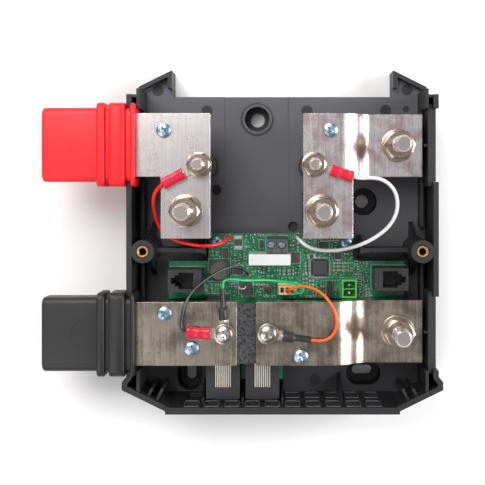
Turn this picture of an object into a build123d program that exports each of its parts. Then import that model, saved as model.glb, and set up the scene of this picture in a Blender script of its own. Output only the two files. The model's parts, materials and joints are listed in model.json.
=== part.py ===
"""Open DC distribution base with a battery monitor shunt, drawn in millimetres.

The origin is the centre of the back face that lies against the wall.
+X runs along the busbars, +Y points up the wall and +Z points out of it.
"""

from build123d import *
import math
import os

os.makedirs("parts", exist_ok=True)

# ---------------------------------------------------------------------------
# Housing, heights above the wall
FLOOR_TOP = 12.0
FLOOR_THICKNESS = 3.0
RIM_TOP = 40.0
EAR_BORDER_TOP = 16.5
LOW_RIB_TOP = 22.0
# Housing, plan sizes
SIDE_FACE_X = 73.8
SIDE_WALL = 2.5
SKIRT_WALL = 2.2
WALL_SPLIT_X = 51.0
WALL_SPLIT_Y = -62.0
FLOOR_RIB = 1.6
PANEL_X = (-28.9, 3.2)
PANEL_LOW_Y = 10.6
PANEL_DEPTH = 0.5
CORE_HOLES = [(-33.3, 23.3), (5.3, 4.9)]
CORE_HOLE_R = 2.5
CORE_HOLE_DEPTH = 2.0
FLOOR_RIB_PITCH = 18.0
GUIDE_GAP = 2.1
GUIDE_RIB = 1.5
LOWER_BRACKET = 11.6
TOP_EDGE_Y = 69.9
EAR_INNER_X = 55.0
EAR_RISE = 12.9
EAR_SHOULDER_INSET = 2.2
EAR_SHOULDER_RISE = 4.6
EAR_BORDER = 2.1
FOOT_STEP = 2.1
BOTTOM_FACE_Y = -82.7
BOTTOM_WALL = 3.2
BOTTOM_WALL_LEAN = 2.0
CORNER_CLEARANCE = 0.6
FOOT_SIDE_TOP_Y = -67.4
FOOT_SIDE_BOTTOM_Y = -71.2
CORNER_FACE_X = 55.5
CORNER_STEP = 1.5

# Busbars
BAR_WIDTH = 30.0
BAR_THICKNESS = 8.0
BAR_SEAT_Z = 32.0
BAR_JOGGLE_DROP = 8.0
BAR_CENTRE_Y = 44.6
BAR_PROTRUSION = 37.0
BAR_END_BORE_R = 4.5
BAR_END_BORE_INSET = 18.3
BAR_EDGE = 0.5
UPPER_JOGGLE = (26.0, 43.0)
LOWER_JOGGLE = (21.4, 42.0)
LEG_BOTTOM_Y = 0.4
LEFT_LEG_OUTER_X = -57.5
LEFT_LEG_INNER_X = -34.1
RIGHT_LEG_INNER_X = 9.8
RIGHT_LEG_OUTER_X = 33.4
SHUNT_LEFT_X = -21.5
SHUNT_RIGHT_X = -12.5
SHUNT_RECESS = 0.8
BAR_END_GAP = 0.5

# Studs and fasteners
FUSE_STUD_Y = 13.3
FUSE_STUD_LEFT_X = -45.6
FUSE_STUD_RIGHT_X = 18.7
OUTPUT_STUD_INSET = 18.5
TAP_STUD_Y = 35.2
TAP_STUD_LEFT_X = -39.2
TAP_STUD_RIGHT_X = 14.9
M8_R = 4.0
M8_FLATS = 13.0
M8_NUT = 6.5
M8_HEAD = 5.3
STUD_CHAMFER = 0.8
M8_STICKOUT = 24.0
M6_R = 3.0
M6_FLATS = 10.0
M6_NUT = 5.0
M6_HEAD = 4.0
M6_STICKOUT = 15.0
WASHER_M8_R = 8.0
WASHER_M8 = 1.6
SPRING_M8_R = 6.4
SPRING_M8 = 2.0
WASHER_M6_R = 6.0
WASHER_M6 = 1.4
THREAD_GAP = 0.05
STUD_GAP = 0.25
POCKET_GAP = 0.2
FIXING_SCREW_R = 1.75
FIXING_HEAD_R = 3.5
FIXING_HEAD = 2.4
FIXING_LENGTH = 16.0
SENSE_SCREW_R = 2.0
SENSE_HEAD_R = 4.0
SENSE_HEAD = 2.6
SENSE_WASHER_R = 5.0
SENSE_WASHER = 0.8
SENSE_Y = -44.5
SENSE_LEFT_X = -27.3
SENSE_RIGHT_X = -6.8
FIXING_SCREWS = [(-56.1, 51.5), (22.7, 51.7), (-55.6, -34.9), (-42.9, -51.5), (8.7, -55.2)]

# Wall openings, sleeves and barriers
WINDOW_WIDTH = 35.0
LEFT_WINDOW_BOTTOM = 29.0
RIGHT_WINDOW_BOTTOM = 22.0
SLEEVE_HEIGHT = 14.0
SLEEVE_FLANGE_EDGE = 2.2
SLEEVE_CAP_WALL = 2.3
SLEEVE_GAP = 0.1
SLEEVE_BORE_GAP = 0.2
SLEEVE_WIDE_RIB = 7.4
SLEEVE_GROOVE = 2.0
SLEEVE_NARROW_RIB = 3.7
BARRIER_TOP = 36.0
BARRIER_FOOT_Z = 16.0
BARRIER_LIP = 2.0
BARRIER_FACE_RECESS = 0.8
BARRIER_TAB = 1.2
SLIDE_GAP = 0.15

# Cover posts
POST_INSET_X = 7.6
POST_Y = -5.85
POST_TOP_R = 5.45
POST_DRAFT_R = 0.9
INSERT_R = 3.0
INSERT_LENGTH = 8.0
INSERT_BORE_R = 1.65
POST_RIB_TOP = 30.0
POST_RIB = 2.2
POST_RIB_END_X = 38.4

# Wall screw holes: centre, half length of the straight slot along X and Y, hole radius, recess radius
SCREW_SEAT_Z = 2.5
ROUND_HOLES = [(-12.7, 58.9, 3.6, 6.2), (40.5, 17.4, 3.3, 6.8)]
SLOT_HOLE_X = (40.5, -68.4)
SLOT_HOLE_Y = (-46.4, -68.3)
SLOT_LENGTH = 10.0
SLOT_R = 2.4
SLOT_RECESS_R = 6.0
BOSS_WALL = 2.0

# Knock-outs in the bottom wall
KNOCKOUT_COUNT = 10
KNOCKOUT_PITCH = 9.65
KNOCKOUT_WIDTH = 6.7
KNOCKOUT_HEIGHT = 9.0
KNOCKOUT_DEPTH = 1.6
UPPER_KNOCKOUT_Z = 34.1
LOWER_KNOCKOUT_Z = 19.5

# Circuit board and what stands on it
BOARD_BOTTOM = 16.0
BOARD_THICKNESS = 1.6
BOARD_TOP = BOARD_BOTTOM + BOARD_THICKNESS
BOARD_SCREWS = [(-32.8, -2.2), (31.5, -2.5)]
BOARD_SCREW_R = 1.25
BOARD_HEAD_R = 2.8
BOARD_HEAD = 2.0
JACK_WIDTH = 16.2
JACK_HEIGHT = 13.4
JACK_LENGTH = 21.0
JACK_WALL_GAP = 0.2
NETWORK_JACK_X = (-28.7, -9.7)
PLUG_WIDTH = 11.8
PLUG_HEIGHT = 8.4
PLUG_DEPTH = 14.0
PLUG_SILL = 2.2
CONTACT_PITCH = 1.016
CONTACT_WIDTH = 0.6
CONTACT_WINDOW = 8.4
CONTACT_WINDOW_DEPTH = 1.4
BUS_JACK_LENGTH = 16.2
BUS_JACK_WIDTH = 10.9
BUS_JACK_HEIGHT = 15.4
LEFT_BUS_JACK = (-46.9, -20.3)
RIGHT_BUS_JACK = (52.3, -19.6)
BUS_SOCKET_DEPTH = 12.0

# Crimped terminals and wires
RING_THICKNESS = 0.9
BARREL_R = 1.7
BARREL_RISE = 2.5
TAB_ROOT = 0.8
TAB_WIDTH = 4.4
SLEEVE_WIRE_GRIP = 3.0
WIRE_GAP = 0.05
RED_WIRE_D = 1.8
BLACK_WIRE_D = 1.4
GREEN_WIRE_D = 1.3
ORANGE_WIRE_D = 1.4
SHRINK_WALL = 0.5
SHRINK_SHOULDER = 0.8

# ---------------------------------------------------------------------------
# Derived sizes
side_inner_x = SIDE_FACE_X - SIDE_WALL
guide_inner_x = side_inner_x - GUIDE_GAP
rib_inner_x = guide_inner_x - GUIDE_RIB
foot_x = SIDE_FACE_X + FOOT_STEP
ear_shoulder_x = SIDE_FACE_X - EAR_SHOULDER_INSET
ear_tip_y = TOP_EDGE_Y + EAR_RISE
ear_shoulder_y = TOP_EDGE_Y + EAR_SHOULDER_RISE
bracket_top_y = TOP_EDGE_Y - 1.3
window_high_y = BAR_CENTRE_Y + WINDOW_WIDTH / 2
corner_top_y = -(window_high_y + SLEEVE_FLANGE_EDGE + CORNER_CLEARANCE)
bottom_inner_floor_y = BOTTOM_FACE_Y + BOTTOM_WALL + BOTTOM_WALL_LEAN
bottom_inner_rim_y = BOTTOM_FACE_Y + BOTTOM_WALL
bar_top_z = BAR_SEAT_Z + BAR_THICKNESS
low_seat_z = BAR_SEAT_Z - BAR_JOGGLE_DROP
low_top_z = bar_top_z - BAR_JOGGLE_DROP
bar_mid_z = BAR_SEAT_Z + BAR_THICKNESS / 2
bar_left_x = -(SIDE_FACE_X + BAR_PROTRUSION)
bar_right_x = rib_inner_x - BAR_END_GAP
end_bore_x = bar_left_x + BAR_END_BORE_INSET
output_stud_x = SIDE_FACE_X - OUTPUT_STUD_INSET
post_x = SIDE_FACE_X - POST_INSET_X
jack_front_y = bottom_inner_floor_y + JACK_WALL_GAP
jack_back_y = jack_front_y + JACK_LENGTH
jack_top_z = BOARD_TOP + JACK_HEIGHT
plug_low_z = BOARD_TOP + PLUG_SILL
plug_high_z = plug_low_z + PLUG_HEIGHT
fuse_studs = [(FUSE_STUD_LEFT_X, FUSE_STUD_Y), (FUSE_STUD_RIGHT_X, FUSE_STUD_Y)]
output_studs = [(output_stud_x, BAR_CENTRE_Y), (output_stud_x, -BAR_CENTRE_Y)]
tap_studs = [(TAP_STUD_LEFT_X, TAP_STUD_Y), (TAP_STUD_RIGHT_X, TAP_STUD_Y)]
sense_points = [(SENSE_LEFT_X, SENSE_Y), (SENSE_RIGHT_X, SENSE_Y)]


def save(builder, name):
    """Label a finished piece and write its STEP file."""
    builder.part.label = name
    export_step(builder.part, f"parts/{name}.step")
    return builder.part


def mirrored(points):
    """Return the same outline points on the other side of X = 0, in reverse order."""
    return [(-x, y) for x, y in reversed(points)]


def box_between(low, high, mode=Mode.ADD):
    """Add a box from its low corner to its high corner to the part being built."""
    size = [b - a for a, b in zip(low, high)]
    centre = [(a + b) / 2 for a, b in zip(low, high)]
    with Locations(tuple(centre)):
        Box(*size, mode=mode)


# ---------------------------------------------------------------------------
# Base shell: floor on a hollow skirt, side walls, bottom wall, posts and busbar seats
right_outline = [
    (EAR_INNER_X, TOP_EDGE_Y),
    (EAR_INNER_X, ear_tip_y),
    (ear_shoulder_x, ear_shoulder_y),
    (ear_shoulder_x, bracket_top_y),
    (SIDE_FACE_X, bracket_top_y),
    (SIDE_FACE_X, corner_top_y),
    (foot_x, FOOT_SIDE_TOP_Y),
    (foot_x, FOOT_SIDE_BOTTOM_Y),
    (CORNER_FACE_X, BOTTOM_FACE_Y + CORNER_STEP),
    (CORNER_FACE_X, BOTTOM_FACE_Y),
]
outline = right_outline + mirrored(right_outline)

cored_bosses = [(x, y, 0.0) for x, y in fuse_studs] + [(x, y, BAR_JOGGLE_DROP) for x, y in output_studs]
fuse_pad = (18.0, 19.0)
pad_wall = 2.4
pad_roof = 8.4

with BuildPart() as base_shell:
    with BuildSketch() as footprint:
        with BuildLine():
            Polyline(*outline, close=True)
        make_face()
    extrude(amount=FLOOR_TOP)
    with BuildSketch() as skirt_inside:
        with BuildLine():
            Polyline(*outline, close=True)
        make_face()
        offset(amount=-SKIRT_WALL, kind=Kind.INTERSECTION, mode=Mode.REPLACE)
    extrude(amount=FLOOR_TOP - FLOOR_THICKNESS, mode=Mode.SUBTRACT)
    # stiffening ribs under the floor
    with BuildSketch() as floor_ribs:
        with GridLocations(0, FLOOR_RIB_PITCH, 1, 9):
            Rectangle(2 * foot_x, FLOOR_RIB)
        with GridLocations(FLOOR_RIB_PITCH, 0, 7, 1):
            Rectangle(FLOOR_RIB, 2 * ear_tip_y)
        with BuildLine():
            Polyline(*outline, close=True)
        make_face(mode=Mode.INTERSECT)
    extrude(amount=FLOOR_TOP - FLOOR_THICKNESS)
    # shallow panel in the floor between the upper busbars, and two blind core holes
    with BuildSketch(Plane.XY.offset(FLOOR_TOP)) as floor_panel:
        with Locations(((PANEL_X[0] + PANEL_X[1]) / 2, PANEL_LOW_Y)):
            Rectangle(PANEL_X[1] - PANEL_X[0], TOP_EDGE_Y - PANEL_LOW_Y, align=(Align.CENTER, Align.MIN))
    extrude(amount=-PANEL_DEPTH, mode=Mode.SUBTRACT)
    with BuildSketch(Plane.XY.offset(FLOOR_TOP)) as core_holes:
        with Locations(*CORE_HOLES):
            Circle(CORE_HOLE_R)
    extrude(amount=-CORE_HOLE_DEPTH, mode=Mode.SUBTRACT)
    # side walls, raised from the floor to the rim
    with BuildSketch(Plane.XY.offset(FLOOR_TOP)) as side_walls:
        for side in (-1, 1):
            with Locations((side * (SIDE_FACE_X - SIDE_WALL / 2), (bracket_top_y + corner_top_y) / 2)):
                Rectangle(SIDE_WALL, bracket_top_y - corner_top_y)
    extrude(amount=RIM_TOP - FLOOR_TOP)
    # sloped lower corners, a wall as thick as the sides following the outline
    with BuildSketch(Plane.XY.offset(FLOOR_TOP)) as corner_walls:
        with BuildLine():
            Polyline(*outline, close=True)
        make_face()
        offset(amount=-SIDE_WALL, kind=Kind.INTERSECTION, mode=Mode.SUBTRACT)
        with Locations((0, corner_top_y)):
            Rectangle(2 * foot_x, 2 * ear_tip_y, align=(Align.CENTER, Align.MIN), mode=Mode.SUBTRACT)
        Rectangle(2 * CORNER_FACE_X - 8.0, 3 * ear_tip_y, mode=Mode.SUBTRACT)
    extrude(amount=RIM_TOP - FLOOR_TOP)
    # bottom wall, its inner face leaning out towards the rim
    with BuildSketch(Plane.YZ.offset(-CORNER_FACE_X)) as bottom_wall:
        with BuildLine():
            Polyline(
                (BOTTOM_FACE_Y, FLOOR_TOP),
                (bottom_inner_floor_y, FLOOR_TOP),
                (bottom_inner_rim_y, RIM_TOP),
                (BOTTOM_FACE_Y, RIM_TOP),
                close=True,
            )
        make_face()
    extrude(amount=2 * CORNER_FACE_X)
    # diagonal stiffeners on the sloped corners and the tall fins on the bottom wall
    for side in (-1, 1):
        for rib_x in (58.6, 63.6):
            with BuildSketch(Plane.XY.offset(FLOOR_TOP)):
                with Locations(Location((side * rib_x, FOOT_SIDE_BOTTOM_Y - 3.0), side * 28.0)):
                    Rectangle(1.4, 7.0)
            extrude(amount=RIM_TOP - FLOOR_TOP - 3.0)
    for fin_x in (NETWORK_JACK_X[0] - 9.6, (NETWORK_JACK_X[0] + NETWORK_JACK_X[1]) / 2, NETWORK_JACK_X[1] + 9.6):
        with BuildSketch(Plane.YZ.offset(fin_x - 0.5)):
            with BuildLine():
                Polyline(
                    (bottom_inner_rim_y - 0.5, FLOOR_TOP),
                    (bottom_inner_floor_y + 6.8, FLOOR_TOP),
                    (bottom_inner_floor_y + 6.4, FLOOR_TOP + 3.6),
                    (bottom_inner_floor_y + 1.0, FLOOR_TOP + 20.0),
                    (bottom_inner_rim_y - 0.5, FLOOR_TOP + 20.0),
                    close=True,
                )
            make_face()
        extrude(amount=1.0)
    with BuildSketch(Plane.YZ.offset(27.4)):
        with BuildLine():
            Polyline(
                (bottom_inner_rim_y - 0.5, FLOOR_TOP),
                (bottom_inner_floor_y + 9.5, FLOOR_TOP),
                (bottom_inner_rim_y, RIM_TOP - 4.0),
                (bottom_inner_rim_y - 0.5, RIM_TOP - 4.0),
                close=True,
            )
        make_face()
    extrude(amount=1.6)
    # low raised border of the two upper ears
    with BuildSketch(Plane.XY.offset(FLOOR_TOP)) as ear_borders:
        for side in (-1, 1):
            with BuildLine():
                Polyline(
                    (side * EAR_INNER_X, TOP_EDGE_Y + 4.0),
                    (side * EAR_INNER_X, ear_tip_y),
                    (side * ear_shoulder_x, ear_shoulder_y),
                    (side * ear_shoulder_x, ear_shoulder_y - 2.4),
                    (side * (EAR_INNER_X + EAR_BORDER), ear_tip_y - 3.4),
                    (side * (EAR_INNER_X + EAR_BORDER), TOP_EDGE_Y + 4.0),
                    close=True,
                )
            make_face()
    extrude(amount=EAR_BORDER_TOP - FLOOR_TOP)
    # low guide ribs inside the side walls, and the tall guide brackets at their ends
    with BuildSketch(Plane.XY.offset(FLOOR_TOP)) as guide_ribs:
        for side in (-1, 1):
            rib_centre_x = side * (rib_inner_x + GUIDE_RIB / 2)
            for low_y, high_y in ((5.0, window_high_y), (-window_high_y, -13.0)):
                with Locations((rib_centre_x, (low_y + high_y) / 2)):
                    Rectangle(GUIDE_RIB, high_y - low_y)
    extrude(amount=LOW_RIB_TOP - FLOOR_TOP)
    with BuildSketch(Plane.XY.offset(FLOOR_TOP)) as guide_brackets:
        for side in (-1, 1):
            rib_centre_x = side * (rib_inner_x + GUIDE_RIB / 2)
            with Locations((rib_centre_x, (window_high_y + bracket_top_y + 2.8) / 2)):
                Rectangle(GUIDE_RIB, bracket_top_y + 2.8 - window_high_y)
            with Locations((side * (rib_inner_x + (SIDE_FACE_X - rib_inner_x) / 2), bracket_top_y - 0.7)):
                Rectangle(SIDE_FACE_X - rib_inner_x, 1.4)
            with Locations((rib_centre_x, -window_high_y)):
                Rectangle(GUIDE_RIB, LOWER_BRACKET, align=(Align.CENTER, Align.MAX))
    extrude(amount=RIM_TOP - FLOOR_TOP - 1.0)
    # cover posts with drafted sides, their gussets and the long cross ribs
    for side in (-1, 1):
        with BuildSketch(Plane.XY.offset(FLOOR_TOP)):
            with Locations((side * post_x, POST_Y)):
                Circle(POST_TOP_R + POST_DRAFT_R)
        with BuildSketch(Plane.XY.offset(RIM_TOP)):
            with Locations((side * post_x, POST_Y)):
                Circle(POST_TOP_R)
        loft()
        with BuildSketch(Plane.YZ.offset(side * (post_x - 2.2) - 1.0)):
            with BuildLine():
                Polyline(
                    (POST_Y - 13.5, FLOOR_TOP),
                    (POST_Y + 13.5, FLOOR_TOP),
                    (POST_Y + 4.0, POST_RIB_TOP + 4.0),
                    (POST_Y - 4.0, POST_RIB_TOP + 4.0),
                    close=True,
                )
            make_face()
        extrude(amount=2.0)
        inner_x = side * POST_RIB_END_X
        rib_low_x, rib_high_x = sorted((inner_x, side * post_x))
        box_between(
            (rib_low_x, POST_Y - POST_RIB / 2, FLOOR_TOP), (rib_high_x, POST_Y + POST_RIB / 2, POST_RIB_TOP - 1.5)
        )
        tab_low_x, tab_high_x = sorted((inner_x, side * (POST_RIB_END_X + 4.0)))
        box_between(
            (tab_low_x, POST_Y - POST_RIB / 2, FLOOR_TOP), (tab_high_x, POST_Y + POST_RIB / 2, POST_RIB_TOP)
        )
        with BuildSketch(Plane.YZ.offset(inner_x - 0.9)):
            with BuildLine():
                Polyline(
                    (POST_Y - 5.2, FLOOR_TOP),
                    (POST_Y + 7.0, FLOOR_TOP),
                    (POST_Y + 1.4, POST_RIB_TOP),
                    (POST_Y - 1.4, POST_RIB_TOP),
                    close=True,
                )
            make_face()
        extrude(amount=1.8)
    # seats under the busbars: rectangular towers at the M8 studs, round ones elsewhere
    for x, y, drop in cored_bosses:
        box_between(
            (x - fuse_pad[0] / 2, y - fuse_pad[1] / 2, FLOOR_TOP),
            (x + fuse_pad[0] / 2, y + fuse_pad[1] / 2, BAR_SEAT_Z - drop),
        )
    with BuildSketch(Plane.XY.offset(FLOOR_TOP)):
        with Locations(*tap_studs):
            Circle(7.0)
        with Locations(*FIXING_SCREWS):
            Circle(3.7)
    extrude(amount=BAR_SEAT_Z - FLOOR_TOP)
    # board standoffs
    with BuildSketch(Plane.XY.offset(FLOOR_TOP)):
        with Locations(*BOARD_SCREWS, (-50.0, -27.5), (54.0, -27.5), (-19.2, -52.0)):
            Circle(2.6)
    extrude(amount=BOARD_BOTTOM - FLOOR_TOP)
    # tubes round the wall screw recesses, from the wall up to the floor
    with BuildSketch():
        for x, y, _, recess_r in ROUND_HOLES:
            with Locations((x, y)):
                Circle(recess_r + BOSS_WALL)
        with Locations(SLOT_HOLE_X):
            SlotOverall(SLOT_LENGTH + 2 * (SLOT_RECESS_R - SLOT_R + BOSS_WALL), 2 * (SLOT_RECESS_R + BOSS_WALL))
        with Locations(Location((*SLOT_HOLE_Y, 0), 90)):
            SlotOverall(SLOT_LENGTH + 2 * (SLOT_RECESS_R - SLOT_R + BOSS_WALL), 2 * (SLOT_RECESS_R + BOSS_WALL))
        with BuildLine():
            Polyline(*outline, close=True)
        make_face(mode=Mode.INTERSECT)
    extrude(amount=FLOOR_TOP)
    # screw recesses and holes
    with BuildSketch(Plane.XY.offset(SCREW_SEAT_Z)):
        for x, y, _, recess_r in ROUND_HOLES:
            with Locations((x, y)):
                Circle(recess_r)
        with Locations(SLOT_HOLE_X):
            SlotOverall(SLOT_LENGTH + 2 * (SLOT_RECESS_R - SLOT_R), 2 * SLOT_RECESS_R)
        with Locations(Location((*SLOT_HOLE_Y, 0), 90)):
            SlotOverall(SLOT_LENGTH + 2 * (SLOT_RECESS_R - SLOT_R), 2 * SLOT_RECESS_R)
    extrude(amount=FLOOR_TOP - SCREW_SEAT_Z + 0.5, mode=Mode.SUBTRACT)
    with BuildSketch():
        for x, y, hole_r, _ in ROUND_HOLES:
            with Locations((x, y)):
                Circle(hole_r)
        with Locations(SLOT_HOLE_X):
            SlotOverall(SLOT_LENGTH, 2 * SLOT_R)
        with Locations(Location((*SLOT_HOLE_Y, 0), 90)):
            SlotOverall(SLOT_LENGTH, 2 * SLOT_R)
    extrude(amount=SCREW_SEAT_Z, mode=Mode.SUBTRACT)
    # the towers are cored from behind and pocketed for the captive bolt heads
    for x, y, drop in cored_bosses:
        seat = BAR_SEAT_Z - drop
        box_between(
            (x - fuse_pad[0] / 2 + pad_wall, y - fuse_pad[1] / 2 + pad_wall, 0.0),
            (x + fuse_pad[0] / 2 - pad_wall, y + fuse_pad[1] / 2 - pad_wall, seat - pad_roof),
            mode=Mode.SUBTRACT,
        )
        with BuildSketch(Plane.XY.offset(seat)):
            with Locations((x, y)):
                RegularPolygon(M8_FLATS / 2 + POCKET_GAP, 6, major_radius=False)
        extrude(amount=-M8_HEAD, mode=Mode.SUBTRACT)
    with BuildSketch(Plane.XY.offset(BAR_SEAT_Z)):
        with Locations(*tap_studs):
            RegularPolygon(M6_FLATS / 2 + POCKET_GAP, 6, major_radius=False)
    extrude(amount=-M6_HEAD, mode=Mode.SUBTRACT)
    with BuildSketch(Plane.XY.offset(BAR_SEAT_Z)):
        with Locations(*FIXING_SCREWS):
            Circle(FIXING_SCREW_R + THREAD_GAP)
    extrude(amount=-(FIXING_LENGTH - BAR_THICKNESS + 1.0), mode=Mode.SUBTRACT)
    with BuildSketch(Plane.XY.offset(BOARD_BOTTOM)):
        with Locations(*BOARD_SCREWS):
            Circle(BOARD_SCREW_R + THREAD_GAP)
    extrude(amount=-6.0, mode=Mode.SUBTRACT)
    # blind bores for the threaded inserts in the cover posts
    with BuildSketch(Plane.XY.offset(RIM_TOP)):
        with Locations((-post_x, POST_Y), (post_x, POST_Y)):
            Circle(INSERT_R + THREAD_GAP)
    extrude(amount=-INSERT_LENGTH, mode=Mode.SUBTRACT)
    with BuildSketch(Plane.XY.offset(RIM_TOP - INSERT_LENGTH)):
        with Locations((-post_x, POST_Y), (post_x, POST_Y)):
            Circle(INSERT_BORE_R + 0.5)
    extrude(amount=-10.0, mode=Mode.SUBTRACT)
    # windows through the side walls
    for side, sill in ((-1, LEFT_WINDOW_BOTTOM), (1, RIGHT_WINDOW_BOTTOM)):
        for centre_y in (BAR_CENTRE_Y, -BAR_CENTRE_Y):
            low_x, high_x = sorted((side * (side_inner_x - 0.01), side * (SIDE_FACE_X + 1.0)))
            box_between(
                (low_x, centre_y - WINDOW_WIDTH / 2, sill),
                (high_x, centre_y + WINDOW_WIDTH / 2, RIM_TOP + 1.0),
                mode=Mode.SUBTRACT,
            )
    # plug windows and blind knock-outs in the bottom wall
    for jack_x in NETWORK_JACK_X:
        box_between(
            (jack_x - PLUG_WIDTH / 2 - 1.0, BOTTOM_FACE_Y - 1.0, plug_low_z - 0.6),
            (jack_x + PLUG_WIDTH / 2 + 1.0, bottom_inner_floor_y + 0.1, plug_high_z + 0.4),
            mode=Mode.SUBTRACT,
        )
    for column in range(KNOCKOUT_COUNT):
        x = (column - (KNOCKOUT_COUNT - 1) / 2) * KNOCKOUT_PITCH
        heights = [UPPER_KNOCKOUT_Z]
        if not NETWORK_JACK_X[0] - JACK_WIDTH / 2 - 6.0 < x < NETWORK_JACK_X[1] + JACK_WIDTH / 2 + 4.0:
            heights.append(LOWER_KNOCKOUT_Z)
        for z in heights:
            lean = BOTTOM_WALL_LEAN * (RIM_TOP - z) / (RIM_TOP - FLOOR_TOP)
            face_y = bottom_inner_rim_y + lean
            box_between(
                (x - KNOCKOUT_WIDTH / 2, face_y - KNOCKOUT_DEPTH, z - KNOCKOUT_HEIGHT / 2),
                (x + KNOCKOUT_WIDTH / 2, face_y + 1.5, z + KNOCKOUT_HEIGHT / 2),
                mode=Mode.SUBTRACT,
            )
# the moulding is stored in four regions that meet face to face, so that its spaces stay open in collision
beyond = 2 * ear_tip_y
HOUSING_REGIONS = {
    "housing_floor": [((-beyond, -beyond, 0.0), (beyond, beyond, FLOOR_TOP))],
    "housing_left_wall": [
        ((-beyond, -beyond, FLOOR_TOP), (-WALL_SPLIT_X, beyond, beyond)),
        ((-beyond, WALL_SPLIT_Y, FLOOR_TOP), (0.0, beyond, beyond)),
    ],
    "housing_right_wall": [
        ((WALL_SPLIT_X, -beyond, FLOOR_TOP), (beyond, beyond, beyond)),
        ((0.0, WALL_SPLIT_Y, FLOOR_TOP), (beyond, beyond, beyond)),
    ],
    "housing_bottom_wall": [((-WALL_SPLIT_X, -beyond, FLOOR_TOP), (WALL_SPLIT_X, WALL_SPLIT_Y, beyond))],
}
for region_name, region_boxes in HOUSING_REGIONS.items():
    with BuildPart() as region_mask:
        for region_low, region_high in region_boxes:
            box_between(region_low, region_high)
    with BuildPart() as region:
        add(base_shell.part)
        add(region_mask.part, mode=Mode.INTERSECT)
    save(region, region_name)

with BuildPart() as thread_inserts:
    with BuildSketch(Plane.XY.offset(RIM_TOP - INSERT_LENGTH)):
        with Locations((-post_x, POST_Y), (post_x, POST_Y)):
            Circle(INSERT_R)
            Circle(INSERT_BORE_R, mode=Mode.SUBTRACT)
    extrude(amount=INSERT_LENGTH)
save(thread_inserts, "thread_inserts")


# ---------------------------------------------------------------------------
# Busbars
def joggled_profile(far_y, start_x, end_x, joggle):
    """Return the side view of a busbar that steps down, as a sketch on the XZ plane at its far side."""
    joggle_start, joggle_end = joggle
    run = joggle_end - joggle_start
    half_turn = math.atan2(BAR_JOGGLE_DROP, run)
    angle = 2 * half_turn
    mid_r = run / (2 * math.sin(angle))
    outer_r = mid_r + BAR_THICKNESS / 2
    inner_r = mid_r - BAR_THICKNESS / 2
    centre_low = BAR_SEAT_Z + BAR_THICKNESS / 2 - mid_r
    centre_high = low_seat_z + BAR_THICKNESS / 2 + mid_r

    def on_arc(centre_x, centre_z, radius, turn):
        return (centre_x + radius * math.sin(turn), centre_z + radius * math.cos(turn))

    def on_upper_arc(radius, turn):
        return on_arc(joggle_start, centre_low, radius, turn)

    def on_lower_arc(radius, turn):
        x, z = on_arc(0.0, 0.0, radius, turn)
        return (joggle_end - x, centre_high - z)

    with BuildSketch(Plane.XZ.offset(-far_y)) as profile:
        with BuildLine():
            Line((start_x, bar_top_z), (joggle_start, bar_top_z))
            ThreePointArc(on_upper_arc(outer_r, 0), on_upper_arc(outer_r, angle / 2), on_upper_arc(outer_r, angle))
            ThreePointArc(on_lower_arc(inner_r, angle), on_lower_arc(inner_r, angle / 2), on_lower_arc(inner_r, 0))
            Line((joggle_end, low_top_z), (end_x, low_top_z))
            Line((end_x, low_top_z), (end_x, low_seat_z))
            Line((end_x, low_seat_z), (joggle_end, low_seat_z))
            ThreePointArc(on_lower_arc(outer_r, 0), on_lower_arc(outer_r, angle / 2), on_lower_arc(outer_r, angle))
            ThreePointArc(on_upper_arc(inner_r, angle), on_upper_arc(inner_r, angle / 2), on_upper_arc(inner_r, 0))
            Line((joggle_start, BAR_SEAT_Z), (start_x, BAR_SEAT_Z))
            Line((start_x, BAR_SEAT_Z), (start_x, bar_top_z))
        make_face()
    return profile.sketch


def drill(points, radius):
    """Cut round holes straight through the busbar being built."""
    with BuildSketch(Plane.XY.offset(low_seat_z - 1.0)) as holes:
        with Locations(*points):
            Circle(radius)
    extrude(holes.sketch, amount=BAR_JOGGLE_DROP + BAR_THICKNESS + 2.0, mode=Mode.SUBTRACT)


def inside(points, low_x, high_x, low_y, high_y):
    """Keep the points that lie within a plan rectangle."""
    return [p for p in points if low_x < p[0] < high_x and low_y < p[1] < high_y]


bar_low_y = BAR_CENTRE_Y - BAR_WIDTH / 2
bar_high_y = BAR_CENTRE_Y + BAR_WIDTH / 2

with BuildPart() as positive_input_busbar:
    box_between((bar_left_x, bar_low_y, BAR_SEAT_Z), (LEFT_LEG_INNER_X, bar_high_y, bar_top_z))
    box_between((LEFT_LEG_OUTER_X, LEG_BOTTOM_Y, BAR_SEAT_Z), (LEFT_LEG_INNER_X, bar_high_y, bar_top_z))
    fillet(positive_input_busbar.edges().filter_by(Axis.Z), BAR_EDGE)
    drill([fuse_studs[0]], M8_R + STUD_GAP)
    drill([tap_studs[0]], M6_R + STUD_GAP)
    drill([(end_bore_x, BAR_CENTRE_Y)], BAR_END_BORE_R)
    drill(inside(FIXING_SCREWS, bar_left_x, LEFT_LEG_INNER_X, 0, bar_high_y), FIXING_SCREW_R + STUD_GAP)
save(positive_input_busbar, "positive_input_busbar")

with BuildPart() as positive_output_busbar:
    extrude(joggled_profile(bar_high_y, RIGHT_LEG_INNER_X, bar_right_x, UPPER_JOGGLE), amount=BAR_WIDTH)
    box_between((RIGHT_LEG_INNER_X, LEG_BOTTOM_Y, BAR_SEAT_Z), (RIGHT_LEG_OUTER_X, bar_low_y, bar_top_z))
    drill([fuse_studs[1]], M8_R + STUD_GAP)
    drill([tap_studs[1]], M6_R + STUD_GAP)
    drill([output_studs[0]], M8_R + STUD_GAP)
    drill(inside(FIXING_SCREWS, RIGHT_LEG_INNER_X, bar_right_x, 0, bar_high_y), FIXING_SCREW_R + STUD_GAP)
save(positive_output_busbar, "positive_output_busbar")

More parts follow.
